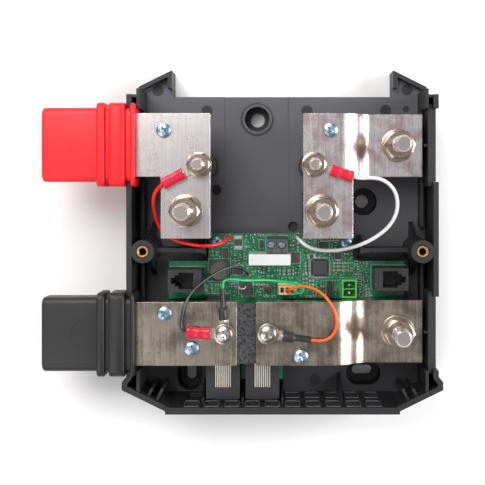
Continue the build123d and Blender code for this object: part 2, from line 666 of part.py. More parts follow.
with BuildPart() as negative_input_busbar:
    box_between((bar_left_x, -bar_high_y, BAR_SEAT_Z), (SHUNT_LEFT_X, -bar_low_y, bar_top_z))
    fillet(negative_input_busbar.edges().filter_by(Axis.Z).sort_by(Axis.X)[:2], BAR_EDGE)
    drill([(end_bore_x, -BAR_CENTRE_Y)], BAR_END_BORE_R)
    drill(inside(FIXING_SCREWS, bar_left_x, SHUNT_LEFT_X, -bar_high_y, 0), FIXING_SCREW_R + STUD_GAP)
    drill([sense_points[0]], SENSE_SCREW_R + THREAD_GAP)
save(negative_input_busbar, "negative_input_busbar")

with BuildPart() as negative_output_busbar:
    extrude(joggled_profile(-bar_low_y, SHUNT_RIGHT_X, bar_right_x, LOWER_JOGGLE), amount=BAR_WIDTH)
    drill([output_studs[1]], M8_R + STUD_GAP)
    drill(inside(FIXING_SCREWS, SHUNT_RIGHT_X, bar_right_x, -bar_high_y, 0), FIXING_SCREW_R + STUD_GAP)
    drill([sense_points[1]], SENSE_SCREW_R + THREAD_GAP)
save(negative_output_busbar, "negative_output_busbar")

with BuildPart() as shunt_element:
    box_between(
        (SHUNT_LEFT_X, -bar_high_y + SHUNT_RECESS, BAR_SEAT_Z + SHUNT_RECESS),
        (SHUNT_RIGHT_X, -bar_low_y - SHUNT_RECESS, bar_top_z - SHUNT_RECESS),
    )
save(shunt_element, "shunt_element")


# ---------------------------------------------------------------------------
# Rubber sleeves over the protruding busbar ends
def sleeve_section(x_start, x_end, edge):
    """Add one rounded block of the sleeve, larger than the cap by edge on every side."""
    width = BAR_WIDTH + 5.0 + 2 * edge
    height = SLEEVE_HEIGHT + 2 * edge
    with BuildSketch(Plane.YZ.offset(x_end)) as section:
        with Locations((sleeve_y, bar_mid_z)):
            RectangleRounded(width, height, 3.0)
    extrude(section.sketch, amount=x_start - x_end)


flange_start_x = -(guide_inner_x + SLEEVE_GAP)
flange_end_x = -(side_inner_x - SLEEVE_GAP)
neck_end_x = -(SIDE_FACE_X + SLEEVE_GAP)
wide_end_x = neck_end_x - SLEEVE_WIDE_RIB
groove_end_x = wide_end_x - SLEEVE_GROOVE
narrow_end_x = groove_end_x - SLEEVE_NARROW_RIB
cap_end_x = bar_left_x - SLEEVE_BORE_GAP - SLEEVE_CAP_WALL
neck_edge = -SLEEVE_GAP

for sleeve_name, sleeve_y in (("red_sleeve", BAR_CENTRE_Y), ("black_sleeve", -BAR_CENTRE_Y)):
    with BuildPart() as sleeve:
        sleeve_section(flange_start_x, flange_end_x, SLEEVE_FLANGE_EDGE)
        sleeve_section(flange_end_x, neck_end_x, neck_edge)
        sleeve_section(neck_end_x, wide_end_x, SLEEVE_FLANGE_EDGE)
        sleeve_section(wide_end_x, groove_end_x, neck_edge)
        sleeve_section(groove_end_x, narrow_end_x, SLEEVE_FLANGE_EDGE)
        sleeve_section(narrow_end_x, cap_end_x, 0.0)
        fillet(sleeve.faces().sort_by(Axis.X)[0].edges(), 1.8)
        bore_half_y = BAR_WIDTH / 2 + SLEEVE_BORE_GAP
        bore_half_z = BAR_THICKNESS / 2 + SLEEVE_BORE_GAP
        box_between(
            (bar_left_x - SLEEVE_BORE_GAP, sleeve_y - bore_half_y, bar_mid_z - bore_half_z),
            (flange_start_x + 1.0, sleeve_y + bore_half_y, bar_mid_z + bore_half_z),
            mode=Mode.SUBTRACT,
        )
    save(sleeve, sleeve_name)

# Lift-out barriers that close the two right-hand windows
for barrier_name, barrier_y in (("upper_barrier", BAR_CENTRE_Y), ("lower_barrier", -BAR_CENTRE_Y)):
    with BuildPart() as barrier:
        half_plate = WINDOW_WIDTH / 2 + BARRIER_LIP
        half_boss = WINDOW_WIDTH / 2 - SLIDE_GAP
        box_between(
            (guide_inner_x + SLIDE_GAP, barrier_y - half_plate, BARRIER_FOOT_Z),
            (side_inner_x - SLIDE_GAP, barrier_y + half_plate, BARRIER_TOP),
        )
        box_between(
            (side_inner_x - SLIDE_GAP, barrier_y - half_boss, RIGHT_WINDOW_BOTTOM),
            (SIDE_FACE_X - BARRIER_FACE_RECESS, barrier_y + half_boss, BARRIER_TOP),
        )
        box_between(
            (rib_inner_x + SLIDE_GAP, barrier_y - BARRIER_TAB / 2, LOW_RIB_TOP + 1.0),
            (guide_inner_x + SLIDE_GAP, barrier_y + BARRIER_TAB / 2, BARRIER_TOP - 1.0),
        )
    save(barrier, barrier_name)


# ---------------------------------------------------------------------------
# Studs, nuts and washers
def disc_ring(points, base_z, thickness, outer_r, inner_r):
    """Add flat rings of one size, each at its own plan point and height."""
    for (x, y), z in zip(points, base_z):
        with BuildSketch(Plane.XY.offset(z)) as ring:
            with Locations((x, y)):
                Circle(outer_r)
                Circle(inner_r, mode=Mode.SUBTRACT)
        extrude(ring.sketch, amount=thickness)


def hex_nuts(points, base_z, flats, thickness, bore_r):
    """Add chamfered hexagon nuts."""
    for (x, y), z in zip(points, base_z):
        with BuildSketch(Plane.XY.offset(z)) as hexagon:
            with Locations((x, y)):
                RegularPolygon(flats / 2, 6, major_radius=False)
                Circle(bore_r, mode=Mode.SUBTRACT)
        extrude(hexagon.sketch, amount=thickness)


def studs(points, seat_z, radius, flats, head, stickout):
    """Add bolts whose hexagon heads sit captive under the busbar."""
    for (x, y), z in zip(points, seat_z):
        with BuildSketch(Plane.XY.offset(z)) as hexagon:
            with Locations((x, y)):
                RegularPolygon(flats / 2, 6, major_radius=False)
        extrude(hexagon.sketch, amount=-head)
        with BuildSketch(Plane.XY.offset(z)) as shank:
            with Locations((x, y)):
                Circle(radius)
        extrude(shank.sketch, amount=BAR_THICKNESS + stickout)


m8_points = fuse_studs + output_studs
m8_seats = [BAR_SEAT_Z, BAR_SEAT_Z, low_seat_z, low_seat_z]
m8_tops = [z + BAR_THICKNESS for z in m8_seats]

with BuildPart() as m8_bolts:
    studs(m8_points, m8_seats, M8_R, M8_FLATS, M8_HEAD, M8_STICKOUT)
    stud_tips = [solid.faces().sort_by(Axis.Z)[-1] for solid in m8_bolts.solids()]
    chamfer([edge for tip in stud_tips for edge in tip.edges()], STUD_CHAMFER)
save(m8_bolts, "m8_bolts")

with BuildPart() as m8_flat_washers:
    disc_ring(m8_points, m8_tops, WASHER_M8, WASHER_M8_R, M8_R + STUD_GAP)
save(m8_flat_washers, "m8_flat_washers")

with BuildPart() as m8_spring_washers:
    disc_ring(m8_points, [z + WASHER_M8 for z in m8_tops], SPRING_M8, SPRING_M8_R, M8_R + STUD_GAP)
save(m8_spring_washers, "m8_spring_washers")

with BuildPart() as m8_nuts:
    nut_bases = [z + WASHER_M8 + SPRING_M8 for z in m8_tops]
    hex_nuts(m8_points, nut_bases, M8_FLATS, M8_NUT, M8_R + THREAD_GAP)
save(m8_nuts, "m8_nuts")

with BuildPart() as m6_bolts:
    studs(tap_studs, [BAR_SEAT_Z, BAR_SEAT_Z], M6_R, M6_FLATS, M6_HEAD, M6_STICKOUT)
    stud_tips = [solid.faces().sort_by(Axis.Z)[-1] for solid in m6_bolts.solids()]
    chamfer([edge for tip in stud_tips for edge in tip.edges()], STUD_CHAMFER)
save(m6_bolts, "m6_bolts")

ring_top_z = bar_top_z + RING_THICKNESS
with BuildPart() as m6_washers:
    disc_ring(tap_studs, [ring_top_z] * 2, WASHER_M6, WASHER_M6_R, M6_R + STUD_GAP)
save(m6_washers, "m6_washers")

with BuildPart() as m6_nuts:
    hex_nuts(tap_studs, [ring_top_z + WASHER_M6] * 2, M6_FLATS, M6_NUT, M6_R + THREAD_GAP)
save(m6_nuts, "m6_nuts")


def pan_screws(points, under_head_z, shank_r, length, head_r, head):
    """Add pan-head screws with a small cross recess."""
    for (x, y), z in zip(points, under_head_z):
        with BuildSketch(Plane.XY.offset(z)) as shank:
            with Locations((x, y)):
                Circle(shank_r)
        extrude(shank.sketch, amount=-length)
        with BuildSketch(Plane.XY.offset(z)) as pan:
            with Locations((x, y)):
                Circle(head_r)
        extrude(pan.sketch, amount=head)
        with BuildSketch(Plane.XY.offset(z + head)) as recess:
            with Locations((x, y)):
                Rectangle(head_r * 1.1, head_r * 0.24)
                Rectangle(head_r * 0.24, head_r * 1.1)
        extrude(recess.sketch, amount=-head * 0.5, mode=Mode.SUBTRACT)


with BuildPart() as busbar_screws:
    pan_screws(
        FIXING_SCREWS, [bar_top_z] * len(FIXING_SCREWS), FIXING_SCREW_R, FIXING_LENGTH, FIXING_HEAD_R, FIXING_HEAD
    )
save(busbar_screws, "busbar_screws")

sense_stack = [2 * RING_THICKNESS, RING_THICKNESS]
with BuildPart() as sense_washers:
    disc_ring(
        sense_points, [bar_top_z + s for s in sense_stack], SENSE_WASHER, SENSE_WASHER_R, SENSE_SCREW_R + STUD_GAP
    )
save(sense_washers, "sense_washers")

with BuildPart() as sense_screws:
    heads_z = [bar_top_z + s + SENSE_WASHER for s in sense_stack]
    pan_screws(sense_points, heads_z, SENSE_SCREW_R, BAR_THICKNESS + 1.0, SENSE_HEAD_R, SENSE_HEAD)
save(sense_screws, "sense_screws")


# ---------------------------------------------------------------------------
# Circuit board
board_tongue_low_y = jack_back_y - 14.0
with BuildPart() as circuit_board:
    with BuildSketch(Plane.XY.offset(BOARD_BOTTOM)):
        with BuildLine():
            Polyline(
                (-36.7, 1.9),
                (34.9, 1.9),
                (34.9, -11.8),
                (60.3, -11.8),
                (60.3, -30.4),
                (0.0, -30.4),
                (0.0, board_tongue_low_y),
                (-37.6, board_tongue_low_y),
                (-37.6, -30.4),
                (-56.1, -30.4),
                (-56.1, -11.8),
                (-36.7, -11.8),
                close=True,
            )
        make_face()
        with Locations(*BOARD_SCREWS):
            Circle(BOARD_SCREW_R + STUD_GAP, mode=Mode.SUBTRACT)
    extrude(amount=BOARD_THICKNESS)
save(circuit_board, "circuit_board")

with BuildPart() as board_screws:
    pan_screws(BOARD_SCREWS, [BOARD_TOP] * 2, BOARD_SCREW_R, 6.0, BOARD_HEAD_R, BOARD_HEAD)
save(board_screws, "board_screws")

# RJ45 sockets facing the bottom wall
for jack_name, jack_x in zip(("network_jack_left", "network_jack_right"), NETWORK_JACK_X):
    with BuildPart() as network_jack:
        box_between(
            (jack_x - JACK_WIDTH / 2, jack_front_y, BOARD_TOP),
            (jack_x + JACK_WIDTH / 2, jack_back_y, jack_top_z),
        )
        box_between(
            (jack_x - PLUG_WIDTH / 2, jack_front_y - 0.1, plug_low_z),
            (jack_x + PLUG_WIDTH / 2, jack_front_y + PLUG_DEPTH, plug_high_z),
            mode=Mode.SUBTRACT,
        )
        box_between(
            (jack_x - 1.6, jack_front_y - 0.1, plug_low_z - 1.4),
            (jack_x + 1.6, jack_front_y + PLUG_DEPTH - 4.0, plug_low_z + 0.1),
            mode=Mode.SUBTRACT,
        )
        box_between(
            (jack_x - CONTACT_WINDOW / 2, jack_front_y + 5.2, jack_top_z - CONTACT_WINDOW_DEPTH),
            (jack_x + CONTACT_WINDOW / 2, jack_back_y - 2.0, jack_top_z + 0.1),
            mode=Mode.SUBTRACT,
        )
    save(network_jack, jack_name)

with BuildPart() as network_jack_contacts:
    contact_base_z = jack_top_z - CONTACT_WINDOW_DEPTH
    for jack_x in NETWORK_JACK_X:
        for index in range(8):
            x = jack_x + (index - 3.5) * CONTACT_PITCH
            box_between(
                (x - CONTACT_WIDTH / 2, jack_front_y + 5.4, contact_base_z),
                (x + CONTACT_WIDTH / 2, jack_back_y - 2.2, contact_base_z + 0.5),
            )
save(network_jack_contacts, "network_jack_contacts")

# 4P4C bus sockets that open upwards, the latch notch facing outwards
for jack_name, centre, side in (("bus_jack_left", LEFT_BUS_JACK, -1), ("bus_jack_right", RIGHT_BUS_JACK, 1)):
    with BuildPart() as bus_jack:
        socket_z = BOARD_TOP + BUS_JACK_HEIGHT
        box_between(
            (centre[0] - BUS_JACK_LENGTH / 2, centre[1] - BUS_JACK_WIDTH / 2, BOARD_TOP),
            (centre[0] + BUS_JACK_LENGTH / 2, centre[1] + BUS_JACK_WIDTH / 2, socket_z),
        )
        for offset_x, size_x, size_y in ((-0.6, 7.2, 7.8), (3.8, 2.0, 5.4), (5.7, 2.2, 3.0)):
            with BuildSketch(Plane.XY.offset(socket_z)):
                with Locations((centre[0] + side * offset_x, centre[1])):
                    Rectangle(size_x, size_y)
            extrude(amount=-BUS_SOCKET_DEPTH, mode=Mode.SUBTRACT)
    save(bus_jack, jack_name)

with BuildPart() as bus_jack_contacts:
    for centre, side in ((LEFT_BUS_JACK, -1), (RIGHT_BUS_JACK, 1)):
        for index in range(4):
            y = centre[1] + (index - 1.5) * 1.02
            wall_x = centre[0] - side * 4.2
            low_x, high_x = sorted((wall_x, wall_x + side * 0.5))
            box_between(
                (low_x, y - 0.25, BOARD_TOP + 3.4), (high_x, y + 0.25, BOARD_TOP + 11.0)
            )
save(bus_jack_contacts, "bus_jack_contacts")


# ---------------------------------------------------------------------------
# Parts soldered to the board
def on_board(centre_x, centre_y, size_x, size_y, height, lift=0.0):
    """Add one box that stands on the board."""
    with BuildSketch(Plane.XY.offset(BOARD_TOP + lift)) as plan:
        with Locations((centre_x, centre_y)):
            Rectangle(size_x, size_y)
    extrude(plan.sketch, amount=height)


with BuildPart() as alarm_relay:
    on_board(-6.2, -10.4, 20.2, 5.3, 12.4)
    fillet(alarm_relay.edges().filter_by(Axis.Z), 0.4)
save(alarm_relay, "alarm_relay")

TERMINAL_X = (-5.4, -0.3)
TERMINAL_Y = -3.4
with BuildPart() as relay_terminal_block:
    on_board(-2.85, TERMINAL_Y, 10.1, 8.0, 10.0)
    with BuildSketch(Plane.XY.offset(BOARD_TOP + 10.0)):
        with Locations(*[(x, TERMINAL_Y) for x in TERMINAL_X]):
            Circle(2.0)
    extrude(amount=-4.0, mode=Mode.SUBTRACT)
save(relay_terminal_block, "relay_terminal_block")

with BuildPart() as terminal_screws:
    with BuildSketch(Plane.XY.offset(BOARD_TOP + 6.0)):
        with Locations(*[(x, TERMINAL_Y) for x in TERMINAL_X]):
            Circle(1.9)
    extrude(amount=2.6)
    with BuildSketch(Plane.XY.offset(BOARD_TOP + 8.6)):
        with Locations(*[(x, TERMINAL_Y) for x in TERMINAL_X]):
            Rectangle(3.2, 0.6)
    extrude(amount=-0.9, mode=Mode.SUBTRACT)
save(terminal_screws, "terminal_screws")

with BuildPart() as power_inductor:
    with BuildSketch(Plane.XY.offset(BOARD_TOP)):
        with Locations((-31.2, -16.3)):
            Circle(5.2)
    extrude(amount=5.0)
    chamfer(power_inductor.faces().sort_by(Axis.Z)[-1].edges(), 0.8)
save(power_inductor, "power_inductor")

with BuildPart() as microcontroller:
    on_board(18.5, -15.1, 7.0, 7.0, 1.4, 0.1)
    for turn in (0, 90, 180, 270):
        with BuildSketch(Plane.XY.offset(BOARD_TOP)):
            with Locations(Location((18.5, -15.1, 0), turn)):
                with Locations((3.95, 0)):
                    with GridLocations(0, 0.5, 1, 12):
                        Rectangle(1.0, 0.22)
        extrude(amount=0.5)
save(microcontroller, "microcontroller")

with BuildPart() as driver_chips:
    on_board(-22.1, -16.4, 4.9, 3.9, 1.5)
    on_board(20.6, -3.9, 4.4, 3.0, 1.2)
    on_board(27.6, -9.4, 3.0, 3.0, 1.1)
    on_board(6.6, -10.2, 3.9, 4.9, 1.5)
save(driver_chips, "driver_chips")

ALARM_PORTS = [(32.5, -22.9), (32.5, -26.8)]
with BuildPart() as alarm_header:
    on_board(32.5, -24.8, 7.4, 9.0, 8.6)
    with BuildSketch(Plane.XY.offset(BOARD_TOP + 8.6)):
        with Locations(*ALARM_PORTS):
            Rectangle(5.6, 3.4)
    extrude(amount=-6.6, mode=Mode.SUBTRACT)
save(alarm_header, "alarm_header")

with BuildPart() as alarm_header_pins:
    with BuildSketch(Plane.XY.offset(BOARD_TOP + 2.0)):
        with Locations(*ALARM_PORTS):
            Rectangle(0.9, 0.9)
    extrude(amount=5.4)
save(alarm_header_pins, "alarm_header_pins")

PLUG_TOP_Z = BOARD_TOP + 8.6
with BuildPart() as sense_header:
    on_board(2.3, -25.4, 8.8, 5.6, 3.0)
save(sense_header, "sense_header")

with BuildPart() as sense_plug:
    on_board(2.3, -25.4, 8.0, 4.6, 5.6, 3.0)
save(sense_plug, "sense_plug")

with BuildPart() as power_resistors:
    on_board(-22.0, -2.7, 3.4, 6.3, 0.7)
    on_board(14.4, -9.6, 3.2, 1.6, 0.6)
save(power_resistors, "power_resistors")

with BuildPart() as diodes:
    on_board(-28.3, -7.9, 2.4, 4.5, 2.1)
    on_board(-10.6, -3.4, 1.3, 3.6, 1.4)
save(diodes, "diodes")

with BuildPart() as capacitor_can:
    with BuildSketch(Plane.XY.offset(BOARD_TOP)):
        with Locations((-18.1, -24.6)):
            Circle(3.3)
    extrude(amount=5.8)
save(capacitor_can, "capacitor_can")

with BuildPart() as status_light:
    on_board(-7.7, -25.6, 3.2, 1.6, 1.2)
save(status_light, "status_light")

with BuildPart() as pin_header:
    on_board(23.1, -25.6, 2.5, 7.6, 2.5)
save(pin_header, "pin_header")

with BuildPart() as board_connector:
    on_board(-31.2, -30.4, 10.4, 4.4, 7.4)
save(board_connector, "board_connector")

with BuildPart() as chip_capacitors:
    with BuildSketch(Plane.XY.offset(BOARD_TOP)):
        with Locations((11.2, -20.6), (14.4, -21.6)):
            with GridLocations(1.0, 2.1, 1, 3):
                Rectangle(1.6, 0.8)
        with Locations((29.0, -14.6)):
            with GridLocations(2.6, 1.8, 3, 3):
                Rectangle(1.6, 0.8)
        with Locations((-11.0, -22.4)):
            with GridLocations(2.7, 2.2, 3, 2):
                Rectangle(1.6, 0.9)
        with Locations((42.0, -27.6)):
            with GridLocations(2.2, 1.8, 1, 3):
                Rectangle(1.6, 0.8)
    extrude(amount=0.8)
save(chip_capacitors, "chip_capacitors")

with BuildPart() as chip_resistors:
    with BuildSketch(Plane.XY.offset(BOARD_TOP)):
        with Locations((25.2, -1.0)):
            with GridLocations(1.5, 2.6, 4, 1):
                Rectangle(0.8, 1.6)
        with Locations((12.4, -15.2)):
            with GridLocations(2.3, 1.6, 1, 4):
                Rectangle(1.6, 0.8)
        with Locations((-24.4, -22.6)):
            with GridLocations(1.5, 2.4, 3, 2):
                Rectangle(0.8, 1.6)
        with Locations((2.0, -17.4)):
            with GridLocations(2.4, 1.7, 3, 2):
                Rectangle(1.6, 0.8)
        with Locations((37.6, -21.4)):
            with GridLocations(1.5, 2.4, 2, 3):
                Rectangle(0.8, 1.6)
    extrude(amount=0.5)
save(chip_resistors, "chip_resistors")


# ---------------------------------------------------------------------------
# Ring terminals, their insulation and the wires
# Each terminal: stud point, height of its ring, direction in degrees, eye radius, hole radius,
# distance from the stud to the start and the end of the crimped barrel
tap_a, tap_b = tap_studs
sense_a, sense_b = sense_points
second_ring_z = bar_top_z + RING_THICKNESS
TERMINALS = {
    "red": (tap_a, bar_top_z, 208.0, 5.6, M6_R + STUD_GAP, 8.0, 16.2),
    "white": (tap_b, bar_top_z, -17.5, 5.6, M6_R + STUD_GAP, 8.0, 16.2),
    "black": (sense_a, second_ring_z, 176.5, 4.3, SENSE_SCREW_R + STUD_GAP, 6.4, 14.6),
    "green": (sense_a, bar_top_z, 93.0, 4.3, SENSE_SCREW_R + STUD_GAP, 6.0, 11.6),
    "orange": (sense_b, bar_top_z, -8.0, 4.3, SENSE_SCREW_R + STUD_GAP, 6.0, 11.6),
}


def along(point, degrees, distance):
    """Return the plan point at a distance from another in a given direction."""
    turn = math.radians(degrees)
    return (point[0] + distance * math.cos(turn), point[1] + distance * math.sin(turn))


def terminal_plane(key, distance):
    """Return the plane that looks along a terminal's barrel at a distance from its stud."""
    point, ring_z, degrees = TERMINALS[key][:3]
    x, y = along(point, degrees, distance)
    turn = math.radians(degrees)
    return Plane(
        origin=(x, y, ring_z + BARREL_RISE),
        x_dir=(-math.sin(turn), math.cos(turn), 0),
        z_dir=(math.cos(turn), math.sin(turn), 0),
    )


TERMINAL_NODES = {
    "tap_terminals": ("red", "white"),
    "sense_terminals": ("green", "orange"),
    "reference_terminal": ("black",),
}
for node_name, keys in TERMINAL_NODES.items():
    with BuildPart() as terminals:
        for key in keys:
            point, ring_z, degrees, eye_r, hole_r, barrel_start, barrel_end = TERMINALS[key]
            tab_start = eye_r - 1.0
            tab_end = barrel_start + TAB_ROOT
            tab_mid = along(point, degrees, (tab_start + tab_end) / 2)
            with BuildSketch(Plane.XY.offset(ring_z)):
                with Locations(point):
                    Circle(eye_r)
                with Locations(Location((*tab_mid, 0), degrees)):
                    Rectangle(tab_end - tab_start, TAB_WIDTH)
                with Locations(point):
                    Circle(hole_r, mode=Mode.SUBTRACT)
            extrude(amount=RING_THICKNESS)
            with BuildSketch(terminal_plane(key, barrel_start)):
                Circle(BARREL_R)
            extrude(amount=barrel_end - barrel_start)
            with BuildSketch(Plane.XY.offset(ring_z + RING_THICKNESS)):
                with Locations(Location((*along(point, degrees, barrel_start + TAB_ROOT / 2), 0), degrees)):
                    Rectangle(TAB_ROOT, 2.4)
            extrude(amount=BARREL_RISE - RING_THICKNESS)
    save(terminals, node_name)

with BuildPart() as crimp_sleeves:
    for key, wire_d in (("red", RED_WIRE_D), ("white", RED_WIRE_D), ("black", BLACK_WIRE_D)):
        barrel_start, barrel_end = TERMINALS[key][5:]
        start = barrel_start + TAB_ROOT + WIRE_GAP
        length = barrel_end + SLEEVE_WIRE_GRIP - start
        with BuildSketch(terminal_plane(key, start)):
            RectangleRounded(5.7, 4.2, 1.9)
            Circle(BARREL_R + WIRE_GAP, mode=Mode.SUBTRACT)
        extrude(amount=barrel_end - start)
        with BuildSketch(terminal_plane(key, barrel_end)):
            RectangleRounded(5.7, 4.2, 1.9)
            Circle(wire_d / 2 + WIRE_GAP, mode=Mode.SUBTRACT)
        extrude(amount=length - (barrel_end - start))
save(crimp_sleeves, "crimp_sleeves")

SHRINK_TAILS = {"green": (GREEN_WIRE_D, 10.0), "orange": (ORANGE_WIRE_D, 8.8)}
with BuildPart() as shrink_sleeves:
    for key, (wire_d, tail) in SHRINK_TAILS.items():
        barrel_start, barrel_end = TERMINALS[key][5:]
        start = barrel_start + TAB_ROOT + WIRE_GAP
        with BuildSketch(terminal_plane(key, start)):
            Circle(BARREL_R + WIRE_GAP + SHRINK_WALL)
            Circle(BARREL_R + WIRE_GAP, mode=Mode.SUBTRACT)
        extrude(amount=barrel_end - start)
        with BuildSketch(terminal_plane(key, barrel_end)):
            Circle(BARREL_R + WIRE_GAP + SHRINK_WALL)
            Circle(wire_d / 2 + WIRE_GAP, mode=Mode.SUBTRACT)
        extrude(amount=SHRINK_SHOULDER)
        with BuildSketch(terminal_plane(key, barrel_end)):
            Circle(wire_d / 2 + WIRE_GAP + SHRINK_WALL)
            Circle(wire_d / 2 + WIRE_GAP, mode=Mode.SUBTRACT)
        extrude(amount=tail)
save(shrink_sleeves, "shrink_sleeves")


def barrel_exit(key, distance, sideways=0.0):
    """Return the point behind a terminal's barrel, distance from the stud, on the wire's axis."""
    point, ring_z, degrees = TERMINALS[key][:3]
    x, y = along(along(point, degrees, distance), degrees + 90, sideways)
    return (x, y, ring_z + BARREL_RISE)


def barrel_end_of(key):
    """Return how far the barrel of a terminal ends from its stud."""
    return TERMINALS[key][6]


WIRES = {
    "red_wire": (
        RED_WIRE_D,
        [
            barrel_exit("red", barrel_end_of("red")),
            barrel_exit("red", 21.4),
            (-61.0, 20.4, 40.6),
            (-61.2, 14.6, 37.0),
            (-60.4, 8.4, 33.0),
            (-57.9, 2.8, 30.4),
            (-51.8, -1.2, 30.2),
            (-44.8, -2.8, 31.4),
            (-38.2, -3.7, 31.8),
            (-31.8, -3.4, 28.6),
            (-27.4, -1.4, 24.8),
            (-26.2, 0.3, 21.4),
            (-26.2, 0.3, BOARD_TOP),
        ],
    ),
    "white_wire": (
        RED_WIRE_D,
        [
            barrel_exit("white", barrel_end_of("white")),
            barrel_exit("white", 21.8),
            (41.2, 29.2, 41.8),
            (47.0, 28.5, 40.6),
            (52.4, 24.6, 39.0),
            (54.8, 18.6, 37.4),
            (54.4, 12.0, 36.0),
            (51.0, 5.8, 34.6),
            (45.0, 0.8, 33.6),
            (38.0, -2.9, 32.6),
            (30.6, -5.2, 29.8),
            (23.0, -6.3, 27.0),
            (16.4, -5.9, 24.8),
            (11.2, -3.9, 23.6),
            (7.6, -0.6, 22.2),
            (7.6, -0.6, BOARD_TOP),
        ],
    ),
    "black_wire": (
        BLACK_WIRE_D,
        [
            barrel_exit("black", barrel_end_of("black")),
            barrel_exit("black", 18.8),
            (-47.8, -41.2, 43.2),
            (-47.4, -36.4, 43.0),
            (-45.8, -30.2, 42.0),
            (-43.2, -24.8, 39.2),
            (-38.2, -20.5, 35.2),
            (-32.2, -16.6, 30.4),
            (-26.6, -14.4, 26.4),
            (-21.6, -14.0, 23.4),
            (-17.6, -16.4, 22.0),
            (-16.9, -18.8, 20.6),
            (-16.9, -18.8, BOARD_TOP),
        ],
    ),
    "green_wire": (
        GREEN_WIRE_D,
        [
            barrel_exit("green", barrel_end_of("green")),
            barrel_exit("green", 23.6),
            (-26.6, -18.7, 42.2),
            (-22.2, -18.9, 40.8),
            (-17.0, -19.8, 37.6),
            (-11.4, -19.8, 34.4),
            (-5.0, -20.2, 31.4),
            (1.6, -21.2, 29.6),
            (7.4, -21.9, 29.0),
            (10.6, -24.2, 29.0),
            (8.6, -27.4, 29.4),
            (4.8, -25.4, 29.6),
            (4.8, -25.4, PLUG_TOP_Z),
        ],
    ),
    "orange_wire": (
        ORANGE_WIRE_D,
        [
            barrel_exit("orange", barrel_end_of("orange")),
            barrel_exit("orange", 22.6),
            (21.4, -47.2, 42.4),
            (25.0, -43.0, 42.4),
            (25.8, -37.4, 42.4),
            (23.8, -31.6, 42.0),
            (20.2, -26.8, 39.6),
            (15.6, -23.8, 36.4),
            (10.8, -22.6, 34.2),
            (6.2, -23.2, 32.4),
            (2.3, -25.4, 30.6),
            (2.3, -25.4, PLUG_TOP_Z),
        ],
    ),
}


def bend_radii(points):
    """Return the arc radius at each inner point: 0.45 of the shorter run over the tangent of half the turn."""
    radii = []
    for before, here, after in zip(points, points[1:], points[2:]):
        into = Vector(*here) - Vector(*before)
        out = Vector(*after) - Vector(*here)
        half_turn = math.radians(into.get_angle(out)) / 2
        radii.append(0.45 * min(into.length, out.length) / math.tan(half_turn))
    return radii


for wire_name, (wire_d, points) in WIRES.items():
    radii = bend_radii(points)
    with BuildPart() as wire:
        with BuildLine() as route:
            previous_end = Vector(*points[0])
            for before, here, after, radius in zip(points, points[1:], points[2:], radii):
                into = (Vector(*here) - Vector(*before)).normalized()
                out = (Vector(*after) - Vector(*here)).normalized()
                half_turn = math.radians(into.get_angle(out)) / 2
                tangent = radius * math.tan(half_turn)
                arc_start = Vector(*here) - into * tangent
                arc_end = Vector(*here) + out * tangent
                Line(previous_end, arc_start)
                TangentArc(arc_start, arc_end, tangent=into)
                previous_end = arc_end
            Line(previous_end, Vector(*points[-1]))
        with BuildSketch(Plane(origin=points[0], z_dir=Vector(*points[1]) - Vector(*points[0]))):
            Circle(wire_d / 2)
        sweep()
    route_length = sum(edge.length for edge in route.edges())
    share = wire.part.volume / (math.pi * wire_d**2 / 4 * route_length)
    print(wire_name, "length", round(route_length, 1), "volume share", round(share, 4))
    print("  radii / diameter", [round(r / wire_d, 1) for r in radii])
    save(wire, wire_name)
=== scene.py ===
"""Looks of the open distribution base with its battery monitor shunt.

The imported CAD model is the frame. Housing, busbars, board, jacks and terminals keep their CAD shape
and get procedural materials. Fasteners, rubber sleeves, crimps, shrink tubes and wires are rebuilt in
finer detail in the places the CAD gives them. Everything is in metres, +Z out of the wall.
"""

from __future__ import annotations

import json
import logging
import math
from collections.abc import Callable, Iterable, Sequence
from dataclasses import dataclass, field
from enum import Enum

import bpy
import numpy as np
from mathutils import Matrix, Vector

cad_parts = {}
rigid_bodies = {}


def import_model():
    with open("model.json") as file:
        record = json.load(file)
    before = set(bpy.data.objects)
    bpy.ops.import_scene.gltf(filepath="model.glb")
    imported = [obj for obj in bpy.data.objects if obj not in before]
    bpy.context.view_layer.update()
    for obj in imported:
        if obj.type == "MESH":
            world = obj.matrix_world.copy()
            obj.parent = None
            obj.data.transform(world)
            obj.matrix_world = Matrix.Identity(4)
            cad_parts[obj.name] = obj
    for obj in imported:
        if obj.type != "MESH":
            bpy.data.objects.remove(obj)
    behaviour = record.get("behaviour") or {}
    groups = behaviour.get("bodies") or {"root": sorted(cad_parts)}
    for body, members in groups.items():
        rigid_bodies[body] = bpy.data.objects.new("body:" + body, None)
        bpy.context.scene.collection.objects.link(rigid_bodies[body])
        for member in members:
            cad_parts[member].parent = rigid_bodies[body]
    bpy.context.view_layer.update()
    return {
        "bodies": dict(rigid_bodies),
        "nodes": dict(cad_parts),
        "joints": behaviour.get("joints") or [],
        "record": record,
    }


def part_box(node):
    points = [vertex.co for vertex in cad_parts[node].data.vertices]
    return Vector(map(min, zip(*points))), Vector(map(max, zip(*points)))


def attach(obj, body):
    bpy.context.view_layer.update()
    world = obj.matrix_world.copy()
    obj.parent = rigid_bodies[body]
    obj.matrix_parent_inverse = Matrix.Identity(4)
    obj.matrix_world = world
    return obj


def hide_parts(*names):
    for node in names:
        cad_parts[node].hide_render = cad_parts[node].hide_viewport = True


LOG = logging.getLogger("scene")
MM = 0.001
FLOOR_TOP = 12.0
TAP_STUDS = ((-39.2, 35.2), (14.9, 35.2))
UPPER_WALL_HOLE = (-12.7, 58.9)
SENSE_PLUG = (2.3, -25.4)
